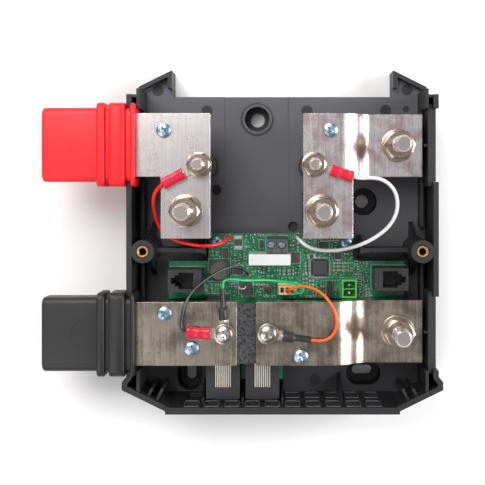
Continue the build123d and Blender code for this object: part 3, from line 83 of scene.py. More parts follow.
EJECTOR_MARKS = (
    (-37.85, 62.91, 2.8), (51.64, 63.16, 2.8), (12.28, 62.91, 2.8), (-62.42, 73.14, 2.8),
    (62.42, 73.54, 2.8), (-59.41, -73.71, 2.8), (16.29, -71.71, 2.8), (58.91, -73.76, 2.8),
    (61.92, 63.91, 1.6),
)
WIRE_JOINTS = ((-26.2, 0.3, 1.5), (7.6, -0.6, 1.6), (-16.9, -18.8, 1.4))
MIX_INPUTS = (0, 6, 7)
MIX_RESULT = 2
FULL_TURN = 2 * math.pi
Shape = tuple[np.ndarray, list[tuple[int, ...]]]
Point = tuple[float, float, float]


# ------------------------------------------------------------------ enums and finishes
class Body(str, Enum):
    """CAD bodies that pieces ride on."""

    MODULE = "module"
    RED_SLEEVE = "red_sleeve_body"
    BLACK_SLEEVE = "black_sleeve_body"
    UPPER_BARRIER = "upper_barrier_body"
    LOWER_BARRIER = "lower_barrier_body"


class Surface(Enum):
    """Ways a surface is built up."""

    MOULDED = "moulded"
    HOUSING = "housing"
    BRUSHED_WITH_PAINTED_REFLECTION = "brushed"
    PLATED = "plated"
    RUBBER = "rubber"
    BOARD = "board"
    GLOSS = "gloss"


@dataclass(frozen=True)
class Finish:
    """One material: two colours that mottle into each other, and how the surface answers light."""

    name: str
    surface: Surface
    base: tuple[float, float, float]
    second: tuple[float, float, float]
    roughness: float
    metallic: float = 0.0
    patch: float = 60.0
    contrast: float = 0.6
    grain: float = 2500.0
    stretch: tuple[float, float, float] = (1.0, 1.0, 1.0)
    bump: float = 0.05
    edge: float = 0.00025
    coat: float = 0.0
    spread: float = 0.08


def grey(value: float, tint: tuple[float, float, float] = (1.0, 1.0, 1.0)) -> tuple[float, float, float]:
    """Return a grey of that linear value, tinted.

    Args:
        value: Linear brightness from 0 to 1.
        tint: Factor for each channel.

    Returns:
        Linear red, green and blue.
    """
    return tuple(value * t for t in tint)


COOL = (0.94, 0.97, 1.08)
WARM = (1.08, 1.0, 0.92)

FINISHES: dict[str, Finish] = {
    f.name: f
    for f in (
        Finish("black_abs", Surface.HOUSING, grey(0.008, COOL), grey(0.014, COOL), 0.50, patch=24, bump=0.30,
               grain=2600, edge=0.0005, contrast=0.5),
        Finish("barrier_abs", Surface.MOULDED, grey(0.014, COOL), grey(0.022, COOL), 0.46, patch=24, bump=0.2,
               grain=2600, edge=0.0005),
        Finish("mark_dark", Surface.MOULDED, grey(0.007, COOL), grey(0.012, COOL), 0.5, patch=90, bump=0.1,
               edge=0.00005),
        # A light grey for thin moulded ridges: painted highlight on the black plastic.
        Finish("ridge_painted_highlight", Surface.MOULDED, grey(0.085, COOL), grey(0.06, COOL), 0.4, patch=90, bump=0.1),
        Finish("brass_insert", Surface.PLATED, (0.80, 0.52, 0.17), (0.55, 0.33, 0.10), 0.3, 1.0, bump=0.06),
        # The busbars' dark streaks and patches are partly brushed grain and partly painted reflections.
        Finish("bar_silver", Surface.BRUSHED_WITH_PAINTED_REFLECTION, (0.70, 0.66, 0.65), (0.50, 0.46, 0.47), 0.30, 1.0, patch=120,
               stretch=(1.0, 0.05, 1.0), bump=0.10, edge=0.0006, contrast=0.8, grain=800),
        Finish("bar_pink", Surface.BRUSHED_WITH_PAINTED_REFLECTION, (0.84, 0.80, 0.80), (0.50, 0.38, 0.39), 0.26, 1.0, patch=110,
               stretch=(1.0, 0.04, 1.0), bump=0.14, edge=0.0006, contrast=1.3, grain=800),
        Finish("bar_brown", Surface.BRUSHED_WITH_PAINTED_REFLECTION, (0.54, 0.47, 0.39), (0.20, 0.17, 0.145), 0.24, 1.0, patch=90,
               stretch=(1.0, 0.04, 1.0), bump=0.2, edge=0.0006, contrast=1.2, grain=800),
        Finish("shunt_coating", Surface.MOULDED, grey(0.008), grey(0.075, COOL), 0.32, patch=760, bump=0.9,
               grain=1300, contrast=1.1, stretch=(1.0, 0.35, 1.0)),
        Finish("red_rubber", Surface.RUBBER, (0.84, 0.004, 0.014), (0.72, 0.001, 0.006), 0.46, patch=26, bump=0.08,
               edge=0.0008),
        Finish("black_rubber", Surface.RUBBER, grey(0.007), grey(0.012), 0.44, patch=26, bump=0.1, edge=0.0008),
        # The copper-tinted second colour of nickel_steel is painted reflection: copper glints on the nuts and washers.
        Finish("nickel_steel", Surface.PLATED, (0.46, 0.41, 0.36), (0.46, 0.31, 0.23), 0.22, 1.0, patch=240,
               bump=0.05, edge=0.0003, contrast=0.7),
        Finish("stud_steel", Surface.PLATED, (0.80, 0.75, 0.71), (0.52, 0.45, 0.40), 0.22, 1.0, patch=220,
               bump=0.05, edge=0.0003, contrast=0.6),
        Finish("zinc_steel", Surface.PLATED, (0.42, 0.53, 0.62), (0.17, 0.25, 0.32), 0.32, 1.0, patch=420,
               bump=0.04, contrast=0.8),
        Finish("sense_steel", Surface.PLATED, (0.50, 0.47, 0.44), (0.30, 0.26, 0.23), 0.24, 1.0, patch=300,
               bump=0.04, contrast=0.8),
        Finish("board_green", Surface.BOARD, (0.001, 0.080, 0.030), (0.003, 0.20, 0.080), 0.26, coat=0.3,
               patch=110, bump=0.14),
        Finish("jack_plastic", Surface.MOULDED, grey(0.014, COOL), grey(0.022, COOL), 0.44, patch=80, bump=0.08),
        # Near black: painted shade inside openings, such as the plug's ports and the block's slots.
        Finish("jack_inside", Surface.MOULDED, grey(0.005), grey(0.009), 0.5, patch=80, bump=0.05),
        Finish("contact_metal", Surface.PLATED, (0.84, 0.80, 0.70), (0.72, 0.66, 0.55), 0.34, 1.0, patch=300),
        Finish("contact_gold", Surface.PLATED, (0.90, 0.70, 0.42), (0.74, 0.52, 0.26), 0.3, 1.0, patch=300),
        Finish("relay_white", Surface.GLOSS, (0.60, 0.60, 0.605), (0.54, 0.54, 0.55), 0.34, patch=60, bump=0.02),
        Finish("block_black", Surface.MOULDED, grey(0.020), grey(0.030), 0.38, patch=100, bump=0.06),
        Finish("block_grey", Surface.MOULDED, grey(0.075), grey(0.058), 0.42, patch=100, bump=0.06),
        Finish("ferrite", Surface.MOULDED, grey(0.060), grey(0.085), 0.55, patch=240, bump=0.3, grain=1800),
        Finish("chip_black", Surface.MOULDED, grey(0.030), grey(0.052), 0.45, patch=240, bump=0.1, grain=4200),
        Finish("chip_grey", Surface.MOULDED, grey(0.045), grey(0.032), 0.42, patch=240, bump=0.08, grain=4200),
        Finish("header_green", Surface.GLOSS, (0.07, 0.42, 0.08), (0.05, 0.34, 0.06), 0.38, bump=0.03),
        Finish("connector_beige", Surface.GLOSS, (0.78, 0.52, 0.30), (0.66, 0.42, 0.22), 0.42, bump=0.03),
        Finish("capacitor_black", Surface.MOULDED, grey(0.030), grey(0.045), 0.3, patch=120),
        Finish("led_lens", Surface.GLOSS, (0.03, 0.02, 0.022), (0.30, 0.02, 0.02), 0.2, coat=0.5, patch=700),
        Finish("capacitor_tan", Surface.MOULDED, (0.30, 0.17, 0.09), (0.20, 0.11, 0.05), 0.45, patch=400),
        Finish("resistor_black", Surface.MOULDED, grey(0.014), grey(0.024), 0.4, patch=400),
        Finish("tinned_terminal", Surface.PLATED, (0.72, 0.68, 0.60), (0.55, 0.49, 0.42), 0.30, 1.0, patch=260),
        Finish("crimp_red", Surface.GLOSS, (0.66, 0.0, 0.035), (0.40, 0.0, 0.015), 0.34, coat=0.35, patch=230,
               bump=0.05, contrast=0.4),
        Finish("shrink_black", Surface.RUBBER, grey(0.014, (1.15, 0.95, 1.1)), grey(0.028), 0.42, patch=200, bump=0.2,
               grain=900),
        Finish("wire_red", Surface.RUBBER, (0.80, 0.006, 0.003), (0.66, 0.002, 0.002), 0.34, coat=0.2, patch=90),
        Finish("wire_white", Surface.RUBBER, (0.66, 0.66, 0.655), (0.60, 0.60, 0.59), 0.40, coat=0.2, patch=90),
        Finish("wire_black", Surface.RUBBER, grey(0.012), grey(0.02), 0.30, coat=0.3, patch=90),
        Finish("wire_green", Surface.RUBBER, (0.006, 0.40, 0.12), (0.004, 0.32, 0.09), 0.34, coat=0.2, patch=90),
        Finish("wire_orange", Surface.RUBBER, (0.90, 0.13, 0.003), (0.78, 0.09, 0.001), 0.34, coat=0.2, patch=90),
        Finish("silk", Surface.GLOSS, (0.74, 0.84, 0.78), (0.56, 0.68, 0.62), 0.55, bump=0.02),
        Finish("solder", Surface.PLATED, (0.74, 0.74, 0.74), (0.56, 0.56, 0.56), 0.28, 1.0, patch=500),
        # A darker red that paints the shade in the moulded line on the red sleeve.
        Finish("sleeve_groove_painted_shade", Surface.RUBBER, (0.62, 0.0, 0.012), (0.52, 0.0, 0.008), 0.55, bump=0.02),
        Finish("mark_grey", Surface.GLOSS, grey(0.48, COOL), grey(0.40, COOL), 0.5, bump=0.02),
    )
}

NODE_FINISH = {
    "upper_barrier": "barrier_abs",
    "lower_barrier": "barrier_abs",
    "relay_terminal_block": "block_grey",
    "chip_resistors": "resistor_black",
    "microcontroller": "chip_grey",
    "positive_input_busbar": "bar_silver",
    "positive_output_busbar": "bar_pink",
    "negative_input_busbar": "bar_brown",
    "negative_output_busbar": "bar_brown",
}


# ------------------------------------------------------------------ shaders
def group_socket(tree: bpy.types.NodeTree, name: str, kind: str, incoming: bool = True) -> None:
    """Add one socket to a node group's interface.

    Args:
        tree: The node group.
        name: Name of the socket.
        kind: Its type without the NodeSocket prefix.
        incoming: True for an input, False for an output.
    """
    tree.interface.new_socket(name=name, in_out="INPUT" if incoming else "OUTPUT", socket_type=f"NodeSocket{kind}")


def link(tree: bpy.types.NodeTree, source: bpy.types.NodeSocket, target: bpy.types.NodeSocket) -> None:
    """Join two sockets."""
    tree.links.new(source, target)


def feed(tree: bpy.types.NodeTree, value: object, target: bpy.types.NodeSocket) -> None:
    """Link a socket to an input, or store a number or a colour triple in it."""
    if isinstance(value, bpy.types.NodeSocket):
        link(tree, value, target)
    else:
        target.default_value = (*value, 1.0) if isinstance(value, tuple) else float(value)


def fill(node: bpy.types.Node, values: dict[str, object]) -> None:
    """Store values in a node's inputs by name."""
    for name, value in values.items():
        node.inputs[name].default_value = value


def math_node(tree: bpy.types.NodeTree, operation: str, first: object, second: object = None) -> bpy.types.NodeSocket:
    """Add a math node.

    Args:
        tree: The tree it goes in.
        operation: Name of the operation.
        first: A socket or a number.
        second: A socket, a number or None.

    Returns:
        The node's result.
    """
    node = tree.nodes.new("ShaderNodeMath")
    node.operation = operation
    feed(tree, first, node.inputs[0])
    if second is not None:
        feed(tree, second, node.inputs[1])
    return node.outputs[0]


def noise(tree: bpy.types.NodeTree, vector: object, scale: object, detail: float, rough: float = 0.55) -> object:
    """Add a noise texture and return its value."""
    node = tree.nodes.new("ShaderNodeTexNoise")
    fill(node, {"Detail": detail, "Roughness": rough})
    link(tree, vector, node.inputs["Vector"])
    feed(tree, scale, node.inputs["Scale"])
    return node.outputs["Fac"]


def mix_colour(tree: bpy.types.NodeTree, share: object, first: object, second: object) -> bpy.types.NodeSocket:
    """Add a colour mix and return its result. Colours are sockets or number triples."""
    node = tree.nodes.new("ShaderNodeMix")
    node.data_type = "RGBA"
    for index, value in zip(MIX_INPUTS, (share, first, second)):
        feed(tree, value, node.inputs[index])
    return node.outputs[MIX_RESULT]


def build_grain_group() -> bpy.types.NodeTree:
    """Build the shared group that mottles two colours and gives roughness and a fine relief.

    Returns:
        The node group.
    """
    tree = bpy.data.node_groups.new("surface_grain", "ShaderNodeTree")
    for name, kind in (("Vector", "Vector"), ("Base", "Color"), ("Second", "Color"), ("Contrast", "Float"),
                       ("Patch Scale", "Float"), ("Grain Scale", "Float"), ("Stretch", "Vector"),
                       ("Roughness", "Float"), ("Spread", "Float")):
        group_socket(tree, name, kind)
    for name, kind in (("Color", "Color"), ("Roughness", "Float"), ("Height", "Float")):
        group_socket(tree, name, kind, incoming=False)
    entry = tree.nodes.new("NodeGroupInput")
    leave = tree.nodes.new("NodeGroupOutput")
    stretched = tree.nodes.new("ShaderNodeVectorMath")
    stretched.operation = "MULTIPLY"
    link(tree, entry.outputs["Vector"], stretched.inputs[0])
    link(tree, entry.outputs["Stretch"], stretched.inputs[1])
    patches = noise(tree, entry.outputs["Vector"], entry.outputs["Patch Scale"], 4.0, 0.6)
    grain = noise(tree, stretched.outputs[0], entry.outputs["Grain Scale"], 3.0)
    centred = math_node(tree, "SUBTRACT", patches, 0.5)
    lifted = math_node(tree, "MULTIPLY", centred, 3.2)
    scaled = math_node(tree, "MULTIPLY", lifted, entry.outputs["Contrast"])
    fine = math_node(tree, "MULTIPLY", math_node(tree, "SUBTRACT", grain, 0.5), 1.5)
    share = math_node(tree, "ADD", math_node(tree, "ADD", scaled, fine), 0.42)
    share.node.use_clamp = True
    colour = mix_colour(tree, share, entry.outputs["Base"], entry.outputs["Second"])
    link(tree, colour, leave.inputs["Color"])
    swing = math_node(tree, "MULTIPLY", lifted, entry.outputs["Spread"])
    link(tree, math_node(tree, "ADD", entry.outputs["Roughness"], swing), leave.inputs["Roughness"])
    link(tree, grain, leave.inputs["Height"])
    return tree


def build_board_group() -> bpy.types.NodeTree:
    """Build the group that draws copper runs, planes and tiny plated holes under a solder mask.

    Returns:
        The node group.
    """
    tree = bpy.data.node_groups.new("board_artwork", "ShaderNodeTree")
    group_socket(tree, "Vector", "Vector")
    for name in ("Copper", "Hole"):
        group_socket(tree, name, "Float", incoming=False)
    entry = tree.nodes.new("NodeGroupInput")
    leave = tree.nodes.new("NodeGroupOutput")
    split = tree.nodes.new("ShaderNodeSeparateXYZ")
    link(tree, entry.outputs["Vector"], split.inputs[0])
    zones = noise(tree, entry.outputs["Vector"], 95.0, 0.0)
    runs = []
    for axis, pitch, across in ((0, 0.0009, 1), (1, 0.0011, 0)):
        lanes = math_node(tree, "DIVIDE", split.outputs[axis], pitch)
        saw = math_node(tree, "FRACT", lanes)
        narrow = math_node(tree, "LESS_THAN", math_node(tree, "ABSOLUTE", math_node(tree, "SUBTRACT", saw, 0.5)), 0.2)
        cell = tree.nodes.new("ShaderNodeTexWhiteNoise")
        cell.noise_dimensions = "2D"
        joined = tree.nodes.new("ShaderNodeCombineXYZ")
        link(tree, math_node(tree, "FLOOR", lanes), joined.inputs[0])
        long_cells = math_node(tree, "FLOOR", math_node(tree, "DIVIDE", split.outputs[across], 0.0062))
        link(tree, long_cells, joined.inputs[1])
        link(tree, joined.outputs[0], cell.inputs["Vector"])
        kept = math_node(tree, "GREATER_THAN", cell.outputs["Value"], 0.46)
        runs.append(math_node(tree, "MULTIPLY", narrow, kept))
    plane = math_node(tree, "GREATER_THAN", zones, 0.56)
    first = math_node(tree, "MULTIPLY", runs[0], math_node(tree, "GREATER_THAN", zones, 0.47))
    second = math_node(tree, "MULTIPLY", runs[1], math_node(tree, "LESS_THAN", zones, 0.47))
    copper = math_node(tree, "MAXIMUM", math_node(tree, "MAXIMUM", first, second), plane)
    link(tree, copper, leave.inputs["Copper"])
    dots = tree.nodes.new("ShaderNodeTexVoronoi")
    fill(dots, {"Scale": 420.0, "Randomness": 0.85})
    link(tree, entry.outputs["Vector"], dots.inputs["Vector"])
    link(tree, math_node(tree, "LESS_THAN", dots.outputs["Distance"], 0.1), leave.inputs["Hole"])
    return tree


class Paints:
    """Makes each finish's material once."""

    def __init__(self) -> None:
        self.grain = build_grain_group()
        self.board = build_board_group()
        self.made: dict[str, bpy.types.Material] = {}

    def get(self, name: str) -> bpy.types.Material:
        """Return the material of a finish.

        Args:
            name: A key of FINISHES.

        Returns:
            The Blender material.
        """
        if name not in self.made:
            self.made[name] = self._build(FINISHES[name])
        return self.made[name]

    def _build(self, finish: Finish) -> bpy.types.Material:
        """Build one material from its finish."""
        material = bpy.data.materials.new(finish.name)
        material.use_nodes = True
        tree = material.node_tree
        shader = tree.nodes["Principled BSDF"]
        place = tree.nodes.new("ShaderNodeTexCoord").outputs["Object"]
        grain = tree.nodes.new("ShaderNodeGroup")
        grain.node_tree = self.grain
        link(tree, place, grain.inputs["Vector"])
        fill(grain, {"Base": (*finish.base, 1.0), "Second": (*finish.second, 1.0),
                     "Contrast": finish.contrast, "Patch Scale": finish.patch, "Grain Scale": finish.grain,
                     "Stretch": finish.stretch, "Roughness": finish.roughness, "Spread": finish.spread})
        colour, rough, height = grain.outputs
        if finish.surface is Surface.BOARD:
            colour, height = self._board(tree, place, colour, finish)
        # The housing's floor gets painted light.
        if finish.surface is Surface.HOUSING:
            colour = self._floor_painted_light(tree, place, colour)
        rounded = tree.nodes.new("ShaderNodeBevel")
        rounded.samples = 3
        rounded.inputs["Radius"].default_value = finish.edge
        relief = tree.nodes.new("ShaderNodeBump")
        fill(relief, {"Strength": finish.bump, "Distance": 0.0002})
        link(tree, height, relief.inputs["Height"])
        link(tree, rounded.outputs[0], relief.inputs["Normal"])
        link(tree, colour, shader.inputs["Base Color"])
        link(tree, rough, shader.inputs["Roughness"])
        link(tree, relief.outputs[0], shader.inputs["Normal"])
        fill(shader, {"Metallic": finish.metallic, "Coat Weight": finish.coat})
        return material

    def _floor_painted_light(self, tree: bpy.types.NodeTree, place: object, colour: object) -> object:
        """Paint light onto the spark-eroded floor: lighten it a little, more towards its upper end, and return the
        colour.
        """
        split = tree.nodes.new("ShaderNodeSeparateXYZ")
        link(tree, place, split.inputs[0])
        above = math_node(tree, "GREATER_THAN", split.outputs[2], 0.0112)
        below = math_node(tree, "LESS_THAN", split.outputs[2], 0.0126)
        floor = math_node(tree, "MULTIPLY", above, below)
        upper = tree.nodes.new("ShaderNodeMapRange")
        fill(upper, {"From Min": -0.075, "From Max": 0.040, "To Min": 0.30, "To Max": 1.0})
        link(tree, split.outputs[1], upper.inputs["Value"])
        bloom = noise(tree, place, 14.0, 3.0)
        share = math_node(tree, "MULTIPLY", math_node(tree, "MULTIPLY", floor, upper.outputs[0]),
                          math_node(tree, "ADD", bloom, 0.35))
        # The lighter grey mixed in here is painted light on the floor.
        return mix_colour(tree, share, colour, (0.085, 0.087, 0.100))

    def _board(self, tree: bpy.types.NodeTree, place: object, colour: object, finish: Finish) -> tuple[object, object]:
        """Lay copper runs and plated holes over the mask colour and return colour and relief."""
        art = tree.nodes.new("ShaderNodeGroup")
        art.node_tree = self.board
        link(tree, place, art.inputs["Vector"])
        traced = mix_colour(tree, math_node(tree, "MULTIPLY", art.outputs["Copper"], 0.85), colour, finish.second)
        dotted = mix_colour(tree, math_node(tree, "MULTIPLY", art.outputs["Hole"], 0.8), traced, (0.34, 0.42, 0.33))
        return dotted, art.outputs["Copper"]


# ------------------------------------------------------------------ meshes
def grid_faces(rows: int, cols: int, ring: bool = True, loop: bool = False) -> list[tuple[int, ...]]:
    """Return quads between rows of points.

    Args:
        rows: Number of rows.
        cols: Points in each row.
        ring: True if each row closes on itself.
        loop: True if the last row joins the first.

    Returns:
        Faces as index tuples.
    """
    faces = []
    for r in range(rows if loop else rows - 1):
        s = (r + 1) % rows
        for c in range(cols if ring else cols - 1):
            d = (c + 1) % cols
            faces.append((r * cols + c, r * cols + d, s * cols + d, s * cols + c))
    return faces


def capped_faces(rows: int, cols: int) -> list[tuple[int, ...]]:
    """Return the quads between rows of points, and one face over each end."""
    last = (rows - 1) * cols
    return [*grid_faces(rows, cols), tuple(reversed(range(cols))), tuple(range(last, last + cols))]


def full_turn(count: int) -> np.ndarray:
    """Return that many angles, spread evenly over one turn."""
    return np.arange(count) * (FULL_TURN / count)


def around(radius: float | np.ndarray, turns: np.ndarray, height: float | np.ndarray) -> np.ndarray:
    """Return points about Z: radius times the cosine and the sine of each angle, then the height."""
    x, y = radius * np.cos(turns), radius * np.sin(turns)
    return np.stack([x, y, np.broadcast_to(height, x.shape)], -1)


def across(x: float, y: float, z: float, outline: np.ndarray) -> np.ndarray:
    """Return an outline's pairs as points in the plane across X, about a centre."""
    return np.stack([np.full(len(outline), x), y + outline[:, 0], z + outline[:, 1]], 1)


def quarter_turned(shape: Shape) -> Shape:
    """Return a shape turned back by a quarter about Z."""
    points, faces = shape
    return np.stack([points[:, 1], -points[:, 0], points[:, 2]], 1), faces


def joined(shapes: Iterable[Shape]) -> Shape:
    """Return several shapes as one."""
    points, faces, start = [], [], 0
    for verts, polys in shapes:
        points.append(np.asarray(verts, float))
        faces.extend(tuple(i + start for i in p) for p in polys)
        start += len(verts)
    return np.concatenate(points), faces


def moved(shape: Shape, offset: Sequence[float]) -> Shape:
    """Return a shape moved by an offset."""
    return shape[0] + np.asarray(offset, float), shape[1]


def lathe(profile: Sequence[tuple[float, float]], segments: int = 48, loop: bool = False) -> Shape:
    """Turn a profile of radius and height about Z.

    Args:
        profile: Pairs of radius and height.
        segments: Points around.
        loop: True if the profile closes on itself, as for a washer.

    Returns:
        The turned shape. An open profile is capped where its radius isn't zero.
    """
    turns = full_turn(segments)
    rows = [around(r, turns, z) for r, z in profile]
    faces = grid_faces(len(rows), segments, loop=True) if loop else capped_faces(len(rows), segments)
    return np.concatenate(rows), faces


def tube_of_loops(loops: Sequence[np.ndarray]) -> Shape:
    """Skin closed loops of equal length, with both ends capped."""
    return np.concatenate(loops), capped_faces(len(loops), len(loops[0]))


def rounded_loop(half_u: float, half_v: float, radius: float, steps: int = 6) -> np.ndarray:
    """Return a rounded rectangle's outline as pairs, counter-clockwise."""
    radius = max(1e-6, min(radius, half_u - 1e-6, half_v - 1e-6))
    points = []
    for quarter, (su, sv) in enumerate(((1, 1), (-1, 1), (-1, -1), (1, -1))):
        for k in range(steps + 1):
            a = math.pi / 2 * (quarter + k / steps)
            points.append((su * (half_u - radius) + radius * math.cos(a),
                           sv * (half_v - radius) + radius * math.sin(a)))
    return np.array(points)


def box_shape(low: Sequence[float], high: Sequence[float]) -> Shape:
    """Return a plain box between two corners."""
    x0, y0, z0 = low
    x1, y1, z1 = high
    verts = np.array([(x0, y0, z0), (x1, y0, z0), (x1, y1, z0), (x0, y1, z0),
                      (x0, y0, z1), (x1, y0, z1), (x1, y1, z1), (x0, y1, z1)])
    faces = [(0, 3, 2, 1), (4, 5, 6, 7), (0, 1, 5, 4), (1, 2, 6, 5), (2, 3, 7, 6), (3, 0, 4, 7)]
    return verts, faces


def hex_nut(flats: float, bore: float, z0: float, z1: float, per_side: int = 8) -> Shape:
    """Return a chamfered hexagon nut about Z.

    Args:
        flats: Width across flats.
        bore: Radius of the bore.
        z0: Height of its lower face.
        z1: Height of its upper face.
        per_side: Points along each side.

    Returns:
        The nut.
    """
    count = 6 * per_side
    turns = full_turn(count)
    inner = flats / 2
    hexagon = inner / np.cos((turns + math.pi / 6) % (math.pi / 3) - math.pi / 6)
    face_r = inner * 0.955
    drop = (hexagon - face_r) * math.tan(math.radians(28))
    rows = [(bore, z0 + 0.0004), (bore + 0.0004, z0), (face_r, z0), (hexagon, z0 + drop), (hexagon, z1 - drop),
            (face_r, z1), (bore + 0.0005, z1), (bore, z1 - 0.0005)]
    return np.concatenate([around(r, turns, z) for r, z in rows]), grid_faces(len(rows), count, loop=True)


def hex_head(flats: float, z0: float, z1: float) -> Shape:
    """Return a plain hexagon head about Z."""
    turns = np.arange(6) * (math.pi / 3) + math.pi / 6
    reach = flats / 2 / math.cos(math.pi / 6)
    return tube_of_loops([around(reach, turns, z) for z in (z0, z1)])


def threaded_rod(radius: float, pitch: float, z0: float, z1: float, cols: int = 32) -> Shape:
    """Return a stud with a real helical thread and a chamfered tip.

    Args:
        radius: Outer radius of the thread.
        pitch: Rise in one turn.
        z0: Height of the lower end.
        z1: Height of the tip.
        cols: Points around.

    Returns:
        The rod.
    """
    rows = max(8, int((z1 - z0) / pitch * 8))
    turns = full_turn(cols)
    heights = np.linspace(z0, z1, rows)[:, None]
    wave = (heights / pitch - turns / FULL_TURN) % 1.0
    ridge = np.clip(np.abs(wave - 0.5) * 2.6 - 0.35, 0.0, 1.0)
    reach = np.minimum(radius - 0.6 * pitch * ridge, radius - 0.0009 + (z1 - heights) * 1.1)
    return around(reach, turns, heights).reshape(-1, 3), capped_faces(rows, cols)


def screw_head(radius: float, z0: float, height: float, slotted: bool = False, dome: float = 0.3) -> Shape:
    """Return a pan head about Z with a cross recess, or a slot.

    Args:
        radius: Radius of the head.
        z0: Height of the seat.
        height: Height of the head.
        slotted: True for a single slot.
        dome: Share of the height that the top curves by.

    Returns:
        The head.
    """
    rings, cols = 26, 96
    turns = full_turn(cols)
    rows = [around(radius, turns, z0)]
    shares = np.concatenate([[1.0, 0.995, 0.975, 0.94, 0.9], np.linspace(0.86, 0.02, rings)])
    edge = np.array([0.45, 0.72, 0.88, 0.96, 1.0])
    for k, share in enumerate(shares):
        r = radius * share
        level = z0 + height * (1 - dome) * (edge[k] if k < len(edge) else 1.0)
        level += height * dome * (1 - share**2)
        x, y = r * np.cos(turns), r * np.sin(turns)
        z = np.full(cols, min(level, z0 + height))
        near, far = np.minimum(abs(x), abs(y)), np.maximum(abs(x), abs(y))
        if slotted:
            z = np.where((abs(y) < radius * 0.14) & (share < 0.97), z - height * 0.5, z)
        else:
            arm = (near < radius * 0.13 * (1.25 - far / radius)) & (far < radius * 0.56)
            depth = height * 0.62 * (1.15 - far / (radius * 0.62))
            z = np.where(arm, z - np.clip(depth, height * 0.2, height), z)
            tick = (abs(abs(x) - abs(y)) < radius * 0.045) & (r < radius * 0.5) & ~arm
            z = np.where(tick, z - height * 0.07, z)
        rows.append(np.stack([x, y, z], 1))
    return np.concatenate(rows), capped_faces(len(rows), cols)


def spring_ring(outer: float, inner: float, z0: float, z1: float, gap_deg: float) -> Shape:
    """Return a split lock washer about Z whose ends stand a little apart."""
    count = 56
    turns = np.radians(gap_deg) + np.linspace(0.035, 1.965, count) * math.pi
    lift = np.linspace(-0.06, 0.06, count) * (z1 - z0)
    low, high = z0 + 0.06 * (z1 - z0), z1 - 0.06 * (z1 - z0)
    corners = ((inner, low), (outer, low), (outer, high), (inner, high))
    loops = [np.array([(r * math.cos(t), r * math.sin(t), z + d) for r, z in corners])
             for t, d in zip(turns, lift)]
    return tube_of_loops(loops)


def along_loops(start: Point, degrees: float,
                stations: Sequence[tuple[float, float, float, float]]) -> list[np.ndarray]:
    """Return rounded outlines placed along a level direction.

    Args:
        start: Point the distances are counted from.
        degrees: Direction in plan.
        stations: Distance, half width, half height and corner radius of each outline.

    Returns:
        Closed loops of points.
    """
    turn = math.radians(degrees)
    forward = np.array([math.cos(turn), math.sin(turn), 0.0])
    side = np.array([-math.sin(turn), math.cos(turn), 0.0])
    up = np.array([0.0, 0.0, 1.0])
    loops = []
    for distance, half_u, half_v, radius in stations:
        outline = rounded_loop(half_u, half_v, radius)
        loops.append(np.asarray(start) + forward * distance + outline[:, :1] * side + outline[:, 1:] * up)
    return loops


# ------------------------------------------------------------------ scene context
@dataclass
class Workshop:
    """What every sub-assembly needs: the loaded frame and the paints."""

    frame: dict
    paints: Paints
    shown: list[bpy.types.Object] = field(default_factory=list)

    def solids(self, node: str) -> list[tuple[Vector, Vector]]:
        """Return the box of each separate solid in a CAD node, sorted by place.

        Args:
            node: Name of the CAD node.

        Returns:
            Pairs of low and high corners.
        """
        mesh = self.frame["nodes"][node].data
        flat = np.zeros(len(mesh.vertices) * 3)
        mesh.vertices.foreach_get("co", flat)
        points = flat.reshape(-1, 3)
        _, same = np.unique(np.round(points * 1e6).astype(np.int64), axis=0, return_inverse=True)
        same = same.ravel()
        parent = list(range(int(same.max()) + 1))

        def root(i: int) -> int:
            while parent[i] != i:
                parent[i] = parent[parent[i]]
                i = parent[i]
            return i

        for polygon in mesh.polygons:
            first, *others = (root(int(same[v])) for v in polygon.vertices)
            for other in others:
                parent[root(other)] = root(first)
        groups: dict[int, list[int]] = {}
        for index, key in enumerate(same):
            groups.setdefault(root(int(key)), []).append(index)
        boxes = [(Vector(points[g].min(0)), Vector(points[g].max(0))) for g in groups.values()]
        return sorted(boxes, key=lambda b: (round(b[0].x, 5), round(b[0].y, 5), b[0].z))

    def add(self, name: str, shape: Shape, finish: str, body: Body = Body.MODULE, smooth: float = 35.0,
            stands_for: Sequence[str] = (), record_slot: str | None = None) -> bpy.types.Object:
        """Make a piece from a shape and let it ride.

        Args:
            name: Name of the piece.
            shape: Its points and faces.
            finish: Key of its finish.
            body: CAD body it rides on.
            smooth: Edges sharper than this many degrees stay sharp.
            stands_for: CAD nodes it replaces.
            record_slot: The record's material slot; not used.

        Returns:
            The object.
        """
        mesh = bpy.data.meshes.new(name)
        mesh.from_pydata([tuple(map(float, v)) for v in shape[0]], [], shape[1])
        mesh.validate()
        mesh.shade_smooth()
        mesh.set_sharp_from_angle(angle=math.radians(smooth))
        piece = bpy.data.objects.new(name, mesh)
        bpy.context.scene.collection.objects.link(piece)
        mesh.materials.append(self.paints.get(finish))
        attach(piece, body.value)
        if stands_for:
            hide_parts(*stands_for)
        self.shown.append(piece)
        LOG.info("built %s", name)
        return piece


def middle(low: Vector, high: Vector) -> tuple[float, float]:
    """Return the centre of a box in plan."""
    return (low.x + high.x) / 2, (low.y + high.y) / 2


